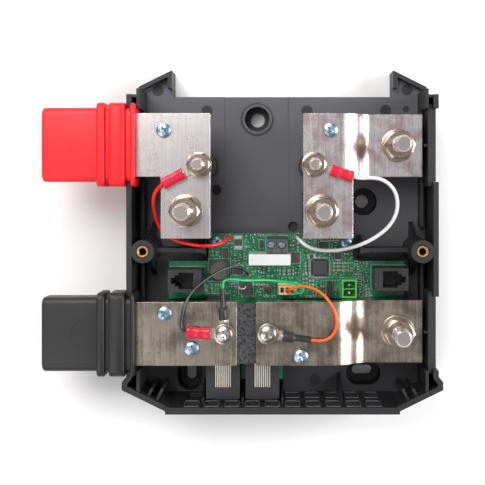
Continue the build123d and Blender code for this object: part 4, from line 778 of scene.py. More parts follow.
# ------------------------------------------------------------------ sub-assemblies
@dataclass
class Fasteners:
    """Studs, nuts, washers and screws."""

    shop: Workshop

    def build(self) -> None:
        """Build every fastener in the place of its CAD solid."""
        self._studs("m8_bolts", 4.0 * MM, 1.25 * MM, 13.0 * MM, 5.3 * MM)
        self._studs("m6_bolts", 3.0 * MM, 1.0 * MM, 10.0 * MM, 4.0 * MM)
        self._nuts("m8_nuts", 13.0 * MM, 3.5 * MM)
        self._nuts("m6_nuts", 10.0 * MM, 2.6 * MM)
        self._washers("m8_flat_washers", 4.15 * MM)
        self._washers("m6_washers", 3.15 * MM)
        self._washers("sense_washers", 2.15 * MM)
        self._springs()
        self._screws("busbar_screws", "zinc_steel", 2.4 * MM)
        self._screws("sense_screws", "sense_steel", 2.6 * MM)
        self._screws("board_screws", "zinc_steel", 2.0 * MM)
        self._screws("terminal_screws", "zinc_steel", 1.2 * MM)
        self._inserts()

    def _studs(self, node: str, radius: float, pitch: float, flats: float, head: float) -> None:
        """Build threaded studs with their hidden heads."""
        shapes = []
        for low, high in self.shop.solids(node):
            x, y = middle(low, high)
            shapes.append(moved(hex_head(flats, low.z, low.z + head), (x, y, 0)))
            shapes.append(moved(threaded_rod(radius, pitch, low.z + head - 0.0001, high.z), (x, y, 0)))
        self.shop.add(f"{node}_threaded", joined(shapes), "stud_steel", smooth=30, stands_for=[node],
                      record_slot="nickel_steel")

    def _nuts(self, node: str, flats: float, bore: float) -> None:
        """Build chamfered nuts."""
        shapes = []
        for low, high in self.shop.solids(node):
            x, y = middle(low, high)
            nut = hex_nut(flats, bore, low.z, high.z)
            if high.y - low.y > high.x - low.x:
                nut = quarter_turned(nut)
            if abs(nut[0][:, 0].max() - (high.x - low.x) / 2) > 0.0002:
                nut = quarter_turned(nut)
            shapes.append(moved(nut, (x, y, 0)))
        self.shop.add(f"{node}_chamfered", joined(shapes), "nickel_steel", smooth=22, stands_for=[node],
                      record_slot="nickel_steel")

    def _washers(self, node: str, bore: float) -> None:
        """Build flat washers with rolled edges."""
        shapes = []
        for low, high in self.shop.solids(node):
            x, y = middle(low, high)
            r, e = (high.x - low.x) / 2, 0.00012
            profile = [(bore, low.z), (r - e, low.z), (r, low.z + e), (r, high.z - 2 * e),
                       (r - e * 0.7, high.z - e * 0.5), (r - 2 * e, high.z), (bore + e, high.z),
                       (bore, high.z - e)]
            shapes.append(moved(lathe(profile, 72, loop=True), (x, y, 0)))
        sense = node == "sense_washers"
        self.shop.add(f"{node}_rolled", joined(shapes), "sense_steel" if sense else "nickel_steel", smooth=40,
                      stands_for=[node], record_slot="zinc_steel" if sense else "nickel_steel")

    def _springs(self) -> None:
        """Build the split lock washers."""
        shapes = []
        for turn, (low, high) in enumerate(self.shop.solids("m8_spring_washers")):
            x, y = middle(low, high)
            ring = spring_ring((high.x - low.x) / 2, 4.1 * MM, low.z, high.z, 40 + 85 * turn)
            shapes.append(moved(ring, (x, y, 0)))
        self.shop.add("m8_spring_washers_split", joined(shapes), "nickel_steel", stands_for=["m8_spring_washers"],
                      record_slot="nickel_steel")

    def _screws(self, node: str, finish: str, head: float) -> None:
        """Build screw heads with their recess, and plain shanks."""
        shapes = []
        slotted = node == "terminal_screws"
        for index, (low, high) in enumerate(self.shop.solids(node)):
            x, y = middle(low, high)
            r = (high.x - low.x) / 2
            shape = screw_head(r, high.z - head, head, slotted=slotted, dome=0.12 if slotted else 0.34)
            turn = math.radians(17 + 31 * index)
            spin = np.array([[math.cos(turn), -math.sin(turn), 0], [math.sin(turn), math.cos(turn), 0], [0, 0, 1]])
            shapes.append(moved((shape[0] @ spin.T, shape[1]), (x, y, 0)))
            if low.z < high.z - head - 0.0002:
                shank = [(r * 0.47, low.z), (r * 0.47, high.z - head + 0.0001)]
                shapes.append(moved(lathe(shank, 24), (x, y, 0)))
        self.shop.add(f"{node}_recessed", joined(shapes), finish, smooth=32, stands_for=[node],
                      record_slot="zinc_steel")

    def _inserts(self) -> None:
        """Build the knurled brass inserts of the two cover posts."""
        shapes = []
        for low, high in self.shop.solids("thread_inserts"):
            x, y = middle(low, high)
            outer, bore, cols = (high.x - low.x) / 2, 1.65 * MM, 72
            turns = full_turn(cols)
            teeth = outer - np.where(np.arange(cols) % 2 == 0, 0.0, 0.00022)
            rows = [(teeth, low.z), (teeth, high.z - 0.0003), (outer - 0.0004, high.z), (bore + 0.0004, high.z),
                    (bore, high.z - 0.0004), (bore, low.z)]
            verts = np.concatenate([around(r, turns, z) for r, z in rows])
            shapes.append(moved((verts, grid_faces(len(rows), cols, loop=True)), (x, y, 0)))
        self.shop.add("thread_inserts_knurled", joined(shapes), "brass_insert", smooth=25,
                      stands_for=["thread_inserts"], record_slot="brass_insert")


@dataclass
class RubberSleeve:
    """One sleeve over the end of an input busbar."""

    shop: Workshop
    node: str
    finish: str
    body: Body

    def build(self) -> None:
        """Build the ribbed sleeve with its rounded cap, and the outline moulded on the cap."""
        low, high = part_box(self.node)
        y, z = (low.y + high.y) / 2, (low.z + high.z) / 2
        flange_u, flange_v = (high.y - low.y) / 2, (high.z - low.z) / 2
        cap_u, cap_v = flange_u - 2.2 * MM, flange_v - 2.2 * MM
        right, left = high.x, low.x
        stops = [("flange", right, right - 1.9 * MM), ("neck", right - 1.9 * MM, right - 4.6 * MM),
                 ("wide", right - 4.6 * MM, right - 12.0 * MM), ("groove", right - 12.0 * MM, right - 14.0 * MM),
                 ("narrow", right - 14.0 * MM, right - 17.7 * MM), ("cap", right - 17.7 * MM, left)]
        sizes = {"flange": 2.2, "neck": -0.1, "wide": 2.2, "groove": 0.25, "narrow": 2.2, "cap": 0.0}
        stations = []
        for name, start, end in stops:
            grow = sizes[name] * MM
            soft = (1.7 if name == "cap" else 0.55 if grow > 0.001 else 0.02) * MM
            base = (cap_u + grow, cap_v + grow)
            if name != "cap" and grow > 0.001:
                shares = (0.0, 0.3, 1.0)
                places = [(start - soft * share, share) for share in shares]
                places += [(end + soft * share, share) for share in reversed(shares)]
                for place, share in places:
                    pull = soft * (1 - share) ** 2
                    stations.append((place, base[0] - pull, base[1] - pull))
            elif name == "cap":
                stations.append((start - 0.01 * MM, *base))
                for step in range(7):
                    a = math.pi / 2 * step / 6
                    pull = soft * (1 - math.cos(a))
                    stations.append((end + soft * (1 - math.sin(a)), base[0] - pull, base[1] - pull))
            else:
                stations.append((start - 0.01 * MM, *base))
                stations.append((end + 0.01 * MM, *base))
        loops = [across(x, y, z, rounded_loop(half_u, half_v, 2.9 * MM)) for x, half_u, half_v in stations]
        bore_u, bore_v = 15.2 * MM, 4.2 * MM
        back = []
        for x, flare in ((right, 0.6 * MM), (right - 1.0 * MM, 0.0), (left + 2.4 * MM, 0.0)):
            back.append(across(x, y, z, rounded_loop(bore_u + flare, bore_v + flare, 0.5 * MM)))
        shape = tube_of_loops(list(reversed(loops)) + back)
        self.shop.add(f"{self.node}_soft", shape, self.finish, self.body, smooth=40, stands_for=[self.node],
                      record_slot=self.finish)
        self._outline(left, y, z + cap_v)

    def _outline(self, left: float, y: float, top: float) -> None:
        """Add the half circle moulded into the cap above the bar's bore; on the red sleeve its darker red is painted
        shade.
        """
        cx, r, cols = left + 20.8 * MM, 6.8 * MM, 40
        turns = np.linspace(-math.pi / 2, math.pi / 2, cols) + math.pi
        rows = []
        for dr, dz in ((-0.22, -0.3), (-0.18, 0.02), (0.18, 0.02), (0.22, -0.3)):
            rows.append(around(r + dr * MM, turns, top + dz * MM) + (cx, y, 0.0))
        shape = (np.concatenate(rows), grid_faces(len(rows), cols, ring=False))
        finish = "sleeve_groove_painted_shade" if self.finish == "red_rubber" else "black_rubber"
        self.shop.add(f"{self.node}_outline", shape, finish, self.body)


@dataclass(frozen=True)
class Terminal:
    """A crimped ring terminal: stud node solid, direction and where its barrel lies."""

    key: str
    x: float
    y: float
    ring_z: float
    degrees: float
    barrel_start: float
    barrel_end: float


TERMINALS = (
    Terminal("red", *TAP_STUDS[0], 40.0, 208.0, 8.0, 16.2),
    Terminal("white", *TAP_STUDS[1], 40.0, -17.5, 8.0, 16.2),
    Terminal("black", -27.3, -44.5, 40.9, 176.5, 6.4, 14.6),
    Terminal("green", -27.3, -44.5, 40.0, 93.0, 6.0, 11.6),
    Terminal("orange", -6.8, -44.5, 40.0, -8.0, 6.0, 11.6),
)
BARREL_RISE = 2.5


@dataclass
class Crimps:
    """Insulated crimp sleeves and shrink tubes on the terminals."""

    shop: Workshop

    def build(self) -> None:
        """Build the three crimps with flared ends, and the two shrink tubes."""
        crimps, shrinks = [], []
        for t in TERMINALS:
            start = np.array([t.x, t.y, t.ring_z + BARREL_RISE]) * MM
            if t.key in ("red", "white", "black"):
                crimps.append(self._crimp(start, t))
            else:
                shrinks.append(self._shrink(start, t, 0.65 if t.key == "green" else 0.7))
        self.shop.add("crimp_sleeves_flared", joined(crimps), "crimp_red", smooth=60, stands_for=["crimp_sleeves"],
                      record_slot="crimp_red")
        self.shop.add("shrink_sleeves_drawn", joined(shrinks), "shrink_black", smooth=60,
                      stands_for=["shrink_sleeves"], record_slot="shrink_black")

    def _crimp(self, start: np.ndarray, t: Terminal) -> Shape:
        """Return one crimp sleeve: flared at both ends and pinched in two places."""
        a, b = (t.barrel_start + 0.2) * MM, (t.barrel_end + 3.0) * MM
        waist = ((0.0, 0.98, 0.98), (0.02, 1.0, 1.0), (0.14, 0.97, 0.97), (0.24, 0.93, 0.88), (0.34, 0.95, 0.85),
                 (0.42, 0.90, 0.94), (0.50, 0.84, 1.0), (0.58, 0.90, 0.94), (0.66, 0.95, 0.85), (0.76, 0.93, 0.88),
                 (0.86, 0.97, 0.97), (0.98, 1.0, 1.0), (1.0, 0.98, 0.98))
        stations = [(a + (b - a) * s, 2.85 * MM * u, 2.1 * MM * v, 1.7 * MM) for s, u, v in waist]
        lip = (b - 0.3 * MM, 1.6 * MM, 1.4 * MM, 1.3 * MM)
        return tube_of_loops(along_loops(start, t.degrees, [*stations, lip]))

    def _shrink(self, start: np.ndarray, t: Terminal, half_width: float) -> Shape:
        """Return one shrink tube that hugs the barrel and then the wires."""
        a = (t.barrel_start + 0.9) * MM
        b = (t.barrel_end + 0.8) * MM
        c = (t.barrel_end + (10.0 if t.key == "green" else 8.8)) * MM
        wire_half = 0.65 if t.key == "green" else 0.7
        big, tail_u, tail_v = 2.2 * MM, (half_width + 0.5) * MM, (wire_half + 0.5) * MM
        stations = [(a, big * 0.96, big * 0.96, 2.1 * MM), (a + 0.0004, big, big, 2.15 * MM)]
        for share in np.linspace(0, 1, 9):
            ease = share * share * (3 - 2 * share)
            u, v = big + (tail_u - big) * ease, big + (tail_v - big) * ease
            stations.append((b - 0.0009 + 0.0017 * share, u, v, min(u, v) * 0.97))
        stations.append((c, tail_u, tail_v, min(tail_u, tail_v) * 0.97))
        return tube_of_loops(along_loops(start, t.degrees, stations))


def exit_point(key: str, distance: float) -> Point:
    """Return the point behind a terminal's barrel on the wire's axis, in millimetres."""
    t = next(item for item in TERMINALS if item.key == key)
    turn = math.radians(t.degrees)
    x = t.x + distance * math.cos(turn)
    y = t.y + distance * math.sin(turn)
    return (x, y, t.ring_z + BARREL_RISE)


@dataclass(frozen=True)
class Wire:
    """One free wire: CAD node, finish, diameter in millimetres, and its route."""

    node: str
    finish: str
    diameter: float
    route: tuple[Point, ...]


BOARD_TOP = 17.6
PLUG_TOP = BOARD_TOP + 8.6
WIRES = (
    Wire("red_wire", "wire_red", 1.8, (
        exit_point("red", 16.2), exit_point("red", 21.4), (-61.0, 20.4, 40.6), (-61.2, 14.6, 37.0), (-60.4, 8.4, 33.0),
        (-57.9, 2.8, 30.4), (-51.8, -1.2, 30.2), (-44.8, -2.8, 31.4), (-38.2, -3.7, 31.8), (-31.8, -3.4, 28.6),
        (-27.4, -1.4, 24.8), (-26.2, 0.3, 21.4), (-26.2, 0.3, BOARD_TOP))),
    Wire("white_wire", "wire_white", 1.8, (
        exit_point("white", 16.2), exit_point("white", 21.8), (41.2, 29.2, 41.8), (47.0, 28.5, 40.6),
        (52.4, 24.6, 39.0), (54.8, 18.6, 37.4), (54.4, 12.0, 36.0), (51.0, 5.8, 34.6), (45.0, 0.8, 33.6),
        (38.0, -2.9, 32.6), (30.6, -5.2, 29.8), (23.0, -6.3, 27.0), (16.4, -5.9, 24.8), (11.2, -3.9, 23.6),
        (7.6, -0.6, 22.2), (7.6, -0.6, BOARD_TOP))),
    Wire("black_wire", "wire_black", 1.4, (
        exit_point("black", 14.6), exit_point("black", 18.8), (-47.8, -41.2, 43.2), (-47.4, -36.4, 43.0),
        (-45.8, -30.2, 42.0), (-43.2, -24.8, 39.2), (-38.2, -20.5, 35.2), (-32.2, -16.6, 30.4), (-26.6, -14.4, 26.4),
        (-21.6, -14.0, 23.4), (-17.6, -16.4, 22.0), (-16.9, -18.8, 20.6), (-16.9, -18.8, BOARD_TOP))),
    Wire("green_wire", "wire_green", 1.3, (
        exit_point("green", 11.6), exit_point("green", 23.6), (-26.6, -18.7, 42.2), (-22.2, -18.9, 40.8),
        (-17.0, -19.8, 37.6), (-11.4, -19.8, 34.4), (-5.0, -20.2, 31.4), (1.6, -21.2, 29.6), (7.4, -21.9, 29.0),
        (10.6, -24.2, 29.0), (8.6, -27.4, 29.4), (4.8, -25.4, 29.6), (4.8, -25.4, PLUG_TOP))),
    Wire("orange_wire", "wire_orange", 1.4, (
        exit_point("orange", 11.6), exit_point("orange", 22.6), (21.4, -47.2, 42.4), (25.0, -43.0, 42.4),
        (25.8, -37.4, 42.4), (23.8, -31.6, 42.0), (20.2, -26.8, 39.6), (15.6, -23.8, 36.4), (10.8, -22.6, 34.2),
        (6.2, -23.2, 32.4), (2.3, -25.4, 30.6), (2.3, -25.4, PLUG_TOP))),
)


@dataclass
class Harness:
    """The five free wires."""

    shop: Workshop

    def build(self) -> None:
        for wire in WIRES:
            self._wire(wire)

    def _wire(self, wire: Wire) -> None:
        """Build one wire.

        Args:
            wire: Its data.
        """
        data = bpy.data.curves.new(f"{wire.node}_curve", "CURVE")
        data.dimensions = "3D"
        data.bevel_depth = wire.diameter * MM / 2
        data.bevel_resolution = 5
        data.resolution_u = 12
        data.use_fill_caps = True
        spline = data.splines.new("NURBS")
        spline.points.add(len(wire.route) - 1)
        for point, place in zip(spline.points, wire.route):
            point.co = (*(v * MM for v in place), 1.0)
        spline.order_u = 3
        spline.use_endpoint_u = True
        piece = bpy.data.objects.new(f"{wire.node}_run", data)
        bpy.context.scene.collection.objects.link(piece)
        data.materials.append(self.shop.paints.get(wire.finish))
        LOG.info("built %s", piece.name)
        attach(piece, Body.MODULE.value)
        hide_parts(wire.node)
        self._length(piece)

    @staticmethod
    def _length(piece: bpy.types.Object) -> float:
        """Return the real length of a curve piece, in metres."""
        line = piece.data.copy()
        line.bevel_depth = 0.0
        probe = bpy.data.objects.new("probe", line)
        bpy.context.scene.collection.objects.link(probe)
        bpy.context.view_layer.update()
        mesh = probe.evaluated_get(bpy.context.evaluated_depsgraph_get()).to_mesh()
        places = [v.co.copy() for v in mesh.vertices]
        total = sum((b - a).length for a, b in zip(places, places[1:]))
        probe.to_mesh_clear()
        bpy.data.objects.remove(probe)
        bpy.data.curves.remove(line)
        return total


LARGE_PARTS = ("alarm_relay", "relay_terminal_block", "microcontroller", "driver_chips", "power_inductor",
               "alarm_header", "sense_header", "bus_jack_left", "bus_jack_right", "capacitor_can", "diodes",
               "board_connector", "pin_header", "power_resistors", "status_light")
CHIP_PARTS = ("chip_resistors", "chip_capacitors")


@dataclass
class BoardDetails:
    """Print, pads, plated holes and leads on the circuit board."""

    shop: Workshop
    taken: list[tuple[float, float, float, float]] = field(default_factory=list)

    def build(self) -> None:
        """Build the fine parts of the board."""
        _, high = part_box("circuit_board")
        top = high.z
        self._mark_taken()
        self._end_caps()
        self._outlines(top)
        self._small_parts(top)
        self._holes(top)
        self._leads()
        self._tops()

    def _end_caps(self) -> None:
        """Add the tinned ends of the chip resistors and capacitors."""
        shapes = []
        for node in (*CHIP_PARTS, "power_resistors"):
            for low, high in self.shop.solids(node):
                dx, dy = high.x - low.x, high.y - low.y
                cap = max(dx, dy) * 0.24
                grow = 0.00004
                axis = 0 if dx >= dy else 1
                for end in (0, 1):
                    a = [low.x - grow, low.y - grow, low.z]
                    b = [high.x + grow, high.y + grow, high.z + grow]
                    if end == 0:
                        b[axis] = a[axis] + cap
                    else:
                        a[axis] = b[axis] - cap
                    shapes.append(box_shape(a, b))
        self.shop.add("chip_end_caps", joined(shapes), "solder")

    def _outlines(self, top: float) -> None:
        """Print a fine outline round each larger part."""
        shapes = []
        line, thick = 0.00016, 0.00003
        for node in LARGE_PARTS:
            for low, high in self.shop.solids(node):
                gap = 0.00045
                x0, y0, x1, y1 = low.x - gap, low.y - gap, high.x + gap, high.y + gap
                for a, b in (((x0, y0), (x1, y0 + line)), ((x0, y1 - line), (x1, y1)), ((x0, y0), (x0 + line, y1)),
                             ((x1 - line, y0), (x1, y1))):
                    shapes.append(box_shape((*a, top - thick), (*b, top + thick)))
        for node in CHIP_PARTS:
            for low, high in self.shop.solids(node):
                gap = 0.0003
                for x in (low.x - gap, high.x + gap):
                    shapes.append(box_shape((x - line / 2, low.y - gap, top - thick),
                                            (x + line / 2, high.y + gap, top + thick)))
        self.shop.add("board_print", joined(shapes), "silk")

    def _holes(self, top: float) -> None:
        """Add rows of plated holes with their pads, and scattered vias where the board is free."""
        shapes = []
        pad = [(0.00028, top - 0.00002), (0.00062, top - 0.00002), (0.00060, top + 0.00004),
               (0.0003, top + 0.00004)]
        rows = ((-20.2, -29.3, 6, 1.27, 0), (-9.2, -29.3, 5, 1.27, 0), (11.8, -29.2, 6, 1.27, 0),
                (37.8, -28.8, 4, 2.0, 0), (-33.5, -54.0, 8, 1.27, 0), (-14.2, -54.0, 8, 1.27, 0),
                (-33.0, -52.0, 7, 1.27, 0), (-13.6, -52.0, 7, 1.27, 0), (-37.6, -28.4, 3, 2.0, 1),
                (41.4, -28.6, 3, 2.2, 1), (25.8, 0.6, 6, 1.0, 0))
        for x, y, count, pitch, axis in rows:
            for k in range(count):
                px, py = (x + k * pitch, y) if axis == 0 else (x, y + k * pitch)
                shapes.append(moved(lathe(pad, 16, loop=True), (px * MM, py * MM, 0)))
        eye = [(0.00012, top - 0.00002), (0.00034, top - 0.00002), (0.00033, top + 0.00003),
               (0.00013, top + 0.00003)]
        for x, y in self._free_places(230, 0.0005, seed=5):
            shapes.append(moved(lathe(eye, 10, loop=True), (x, y, 0)))
        self.shop.add("board_pads", joined(shapes), "solder", smooth=30)

    def _free_places(self, count: int, reach: float, seed: int) -> list[tuple[float, float]]:
        """Return places on the board that no part covers.

        Args:
            count: How many places to look for.
            reach: Half the room each place needs.
            seed: Start of the sequence.

        Returns:
            Places in plan.
        """
        rng = np.random.default_rng(seed)
        places: list[tuple[float, float]] = []
        for _ in range(count * 14):
            if len(places) >= count:
                break
            x, y = rng.uniform(-0.0362, 0.0345), rng.uniform(-0.0300, 0.0013)
            if rng.random() < 0.18:
                x, y = rng.uniform(0.0345, 0.0440), rng.uniform(-0.0300, -0.0122)
            clear = all(x + reach < x0 or x - reach > x1 or y + reach < y0 or y - reach > y1
                        for x0, y0, x1, y1 in self.taken)
            if clear:
                places.append((x, y))
                self.taken.append((x - reach, y - reach, x + reach, y + reach))
        return places

    def _mark_taken(self) -> None:
        """Note the plan box of every CAD part that stands on the board."""
        for node in (*LARGE_PARTS, *CHIP_PARTS, "board_screws"):
            margin = 0.0004 if node in CHIP_PARTS else 0.0009
            for low, high in self.shop.solids(node):
                self.taken.append((low.x - margin, low.y - margin, high.x + margin, high.y + margin))

    def _small_parts(self, top: float) -> None:
        """Scatter the small chip parts that fill the board, each with two tinned ends, and every third with a printed
        bar at each side.
        """
        bodies: dict[str, list[Shape]] = {"capacitor_tan": [], "resistor_black": []}
        ends, frames = [], []
        rng = np.random.default_rng(11)
        for index, (x, y) in enumerate(self._free_places(105, 0.0011, seed=23)):
            upright = rng.random() < 0.5
            half_u, half_v = (0.0008, 0.00042) if not upright else (0.00042, 0.0008)
            tall = 0.0007 if index % 2 else 0.00045
            bodies["capacitor_tan" if index % 2 else "resistor_black"].append(
                box_shape((x - half_u, y - half_v, top - 0.00002), (x + half_u, y + half_v, top + tall)))
            for side in (-1, 1):
                cx = x + (0 if upright else side * 0.0007)
                cy = y + (side * 0.0007 if upright else 0)
                u, v = (half_u + 0.00003, 0.00022) if upright else (0.00022, half_v + 0.00003)
                ends.append(box_shape((cx - u, cy - v, top - 0.00002), (cx + u, cy + v, top + tall + 0.00003)))
            if index % 3 == 0:
                u, v, line = half_u + 0.00032, half_v + 0.00032, 0.00006
                for sx in (-1, 1):
                    frames.append(box_shape((x + sx * u - line, y - v, top - 0.00003),
                                            (x + sx * u + line, y + v, top + 0.00002)))
        for finish, shapes in bodies.items():
            self.shop.add(f"small_{finish}", joined(shapes), finish)
        self.shop.add("small_part_ends", joined(ends), "solder")
        self.shop.add("small_part_print", joined(frames), "silk")

    def _leads(self) -> None:
        """Add gull-wing leads along two sides of the small chips."""
        shapes = []
        for low, high in self.shop.solids("driver_chips"):
            wide = high.x - low.x >= high.y - low.y
            start, length = (low.x, high.x - low.x) if wide else (low.y, high.y - low.y)
            count = max(3, int(length / 0.00065))
            for k in range(count):
                at = start + length * ((k + 0.5) / count)
                shapes += self._lead_pair(low, high, at, not wide, (0.00014, 0.0008, 0.00035))
        low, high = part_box("microcontroller")
        for k in range(12):
            s = (k + 0.5) / 12 * 0.86 + 0.07
            x, y = low.x + (high.x - low.x) * s, low.y + (high.y - low.y) * s
            for at, sideways in ((x, False), (y, True)):
                shapes += self._lead_pair(low, high, at, sideways, (0.00015, 0.0010, 0.0006))
        self.shop.add("chip_leads", joined(shapes), "solder")

    @staticmethod
    def _lead_pair(low: Vector, high: Vector, at: float, sideways: bool,
                   size: tuple[float, float, float]) -> list[Shape]:
        """Return the two leads that stand opposite each other on a chip.

        Args:
            low: Low corner of the chip.
            high: High corner of the chip.
            at: Place along the edge they leave.
            sideways: True if they leave along X, False along Y.
            size: Half width, length past the chip and height of a lead.

        Returns:
            Two boxes, each tucked a little under the chip.
        """
        half, length, height = size
        tuck = 0.0001
        first, last = (low.x, high.x) if sideways else (low.y, high.y)
        boxes = []
        for near, far in ((first - length, first + tuck), (last - tuck, last + length)):
            a, b = (near, at - half), (far, at + half)
            if not sideways:
                a, b = a[::-1], b[::-1]
            boxes.append(box_shape((*a, low.z), (*b, low.z + height)))
        return boxes

    def _tops(self) -> None:
        """Add the rim of the inductor, the ports of the plug, the divider and slots of the block and the joints; the
        ports, divider and slots are near-black painted shade.
        """
        low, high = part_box("power_inductor")
        x, y = middle(low, high)
        r = (high.x - low.x) / 2
        rim = [(r * 0.80, high.z - 0.0002), (r * 0.80, high.z + 0.00005), (r * 0.86, high.z + 0.00005),
               (r * 0.86, high.z - 0.0002)]
        self.shop.add("inductor_rim", moved(lathe(rim, 48, loop=True), (x, y, 0)), "chip_black")
        low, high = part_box("sense_plug")
        holes = []
        # Dark caps over the plug's ports: painted shade in the holes.
        for port in (-2.5, 0.0, 2.5):
            outline = rounded_loop(0.00085, 0.0013, 0.0006) + ((SENSE_PLUG[0] + port) * MM, SENSE_PLUG[1] * MM)
            loops = [np.column_stack([outline, np.full(len(outline), z)])
                     for z in (high.z - 0.0004, high.z + 0.00003)]
            holes.append(tube_of_loops(loops))
        self.shop.add("plug_ports_painted_shade", joined(holes), "jack_inside")
        low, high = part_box("relay_terminal_block")
        cx = -2.85 * MM
        # Dark strips for the block's divider and slots: painted shade in the grooves.
        bottom = high.z - 0.0004
        lines = [box_shape((cx - 0.0002, low.y + 0.002, bottom), (cx + 0.0002, high.y - 0.0012, high.z + 0.00004)),
                 box_shape((low.x + 0.0002, high.y - 0.0011, bottom),
                           (high.x - 0.0002, high.y - 0.0001, high.z + 0.00003))]
        for slot_x in (-5.4, -0.3):
            lines.append(box_shape(((slot_x - 0.5) * MM, low.y + 0.0005, bottom),
                                   ((slot_x + 0.5) * MM, low.y + 0.0012, high.z + 0.00003)))
        self.shop.add("block_slots_painted_shade", joined(lines), "jack_inside")
        low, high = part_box("alarm_relay")
        dot = box_shape((low.x + 0.0012, low.y + 0.002, high.z - 0.0001),
                        (low.x + 0.0017, low.y + 0.0033, high.z + 0.00002))
        self.shop.add("relay_mark", dot, "mark_grey")
        joints = []
        foot = BOARD_TOP * MM
        for jx, jy, jr in WIRE_JOINTS:
            dome = [(jr * MM, foot - 0.0001), (jr * 0.92 * MM, foot + 0.0004), (jr * 0.6 * MM, foot + 0.0009),
                    (0.95 * MM, foot + 0.0011)]
            joints.append(moved(lathe(dome, 28), (jx * MM, jy * MM, 0)))
        self.shop.add("wire_joints", joined(joints), "solder")
        low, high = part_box("capacitor_can")
        x, y = middle(low, high)
        clip = []
        for k in range(17):
            a = math.radians(150 + k * 15)
            centre = np.array([x - 0.0016 + 0.0016 * math.cos(a), y + 0.0003 + 0.0009 * math.sin(a), high.z + 0.00005])
            clip.append(centre + np.column_stack([rounded_loop(0.0003, 0.00025, 0.0002, 2) @ np.array(
                [[math.cos(a), math.sin(a)], [0, 0]]), rounded_loop(0.0003, 0.00025, 0.0002, 2)[:, 1]]))
        self.shop.add("capacitor_clip", tube_of_loops(clip), "solder")


@dataclass
class HousingDetails:
    """Moulding marks on the floor of the base."""

    shop: Workshop

    def build(self) -> None:
        """Build ejector marks, the ring round the upper wall hole and the arcs beside the tap studs."""
        floor = FLOOR_TOP * MM
        shapes = []
        for x, y, r in EJECTOR_MARKS:
            shapes.append(moved(self._mark(r * MM, floor), (x * MM, y * MM, 0)))
        ring = [(7.45 * MM, floor - 0.0001), (7.5 * MM, floor + 0.00016), (7.9 * MM, floor + 0.00016),
                (7.95 * MM, floor - 0.0001)]
        hole_x, hole_y = UPPER_WALL_HOLE
        shapes.append(moved(lathe(ring, 72, loop=True), (hole_x * MM, hole_y * MM, 0)))
        self.shop.add("moulding_marks", joined(shapes), "mark_dark", smooth=30)
        self._knockout_frames()
        self._pad_arcs(floor)

    def _knockout_frames(self) -> None:
        """Add the fine raised frame round each knock-out in the bottom wall, in a light grey that is a painted
        highlight along it.
        """
        shapes = []
        first = -9 / 2 * 9.65
        for level, wall_y in ((19.5, -77.9), (34.1, -78.95)):
            for k in range(10):
                x = first + 9.65 * k
                if level < 25 and -44 < x < 4:
                    continue
                loops = []
                for grow, out in ((0.25, 0.0), (0.15, 0.35), (-0.1, 0.35), (-0.2, 0.0)):
                    outline = rounded_loop((3.35 + grow) * MM, (4.5 + grow) * MM, 0.0011)
                    lean = outline[:, 1] * (-2.0 / 28.0)
                    loops.append(np.stack([x * MM + outline[:, 0], (wall_y + out) * MM + lean,
                                           level * MM + outline[:, 1]], 1))
                verts = np.concatenate(loops)
                shapes.append((verts, grid_faces(4, len(loops[0]), loop=True)))
        self.shop.add("knockout_frames", joined(shapes), "ridge_painted_highlight", smooth=40)

    def _pad_arcs(self, floor: float) -> None:
        """Add the pad outlines moulded in the floor beside the tap studs, in a light grey that is a painted highlight
        along them.
        """
        shapes = []
        for x, y in TAP_STUDS:
            for r in (6.6, 8.1):
                ring = [((r - 0.15) * MM, floor - 0.0006), ((r - 0.1) * MM, floor + 0.00014),
                        ((r + 0.1) * MM, floor + 0.00014), ((r + 0.15) * MM, floor - 0.0006)]
                shapes.append(moved(lathe(ring, 64, loop=True), (x * MM, y * MM, 0)))
        self.shop.add("pad_outlines", joined(shapes), "ridge_painted_highlight", smooth=40)

    @staticmethod
    def _mark(radius: float, floor: float) -> Shape:
        """Return one ejector mark: a flat disc that stands a hair proud of the floor."""
        return lathe([(radius, floor - 0.0001), (radius, floor + 0.00005)], 40)


def paint_nodes(shop: Workshop) -> None:
    """Give every CAD node the finish of its material slot.

    Args:
        shop: The workshop with the loaded frame.
    """
    slots = {item["node"]: item["material_slot"] for item in shop.frame["record"]["subparts"]}
    for name, node in shop.frame["nodes"].items():
        finish = NODE_FINISH.get(name, slots[name])
        node.data.materials.clear()
        node.data.materials.append(shop.paints.get(finish))
        for polygon in node.data.polygons:
            polygon.material_index = 0


# ------------------------------------------------------------------ studio
@dataclass(frozen=True)
class Lamp:
    """One soft area light."""

    name: str
    place: Point
    size: float
    power: float
    colour: tuple[float, float, float] = (1.0, 1.0, 1.0)


LAMPS = (
    Lamp("key", (-0.35, 0.60, 0.95), 0.80, 11.0, (1.0, 0.99, 0.98)),
    Lamp("side", (0.75, 0.05, 0.50), 0.60, 8.0, (1.0, 1.0, 1.0)),
    Lamp("fill", (-0.55, -0.50, 0.85), 0.80, 3.5, (0.97, 0.98, 1.0)),
)


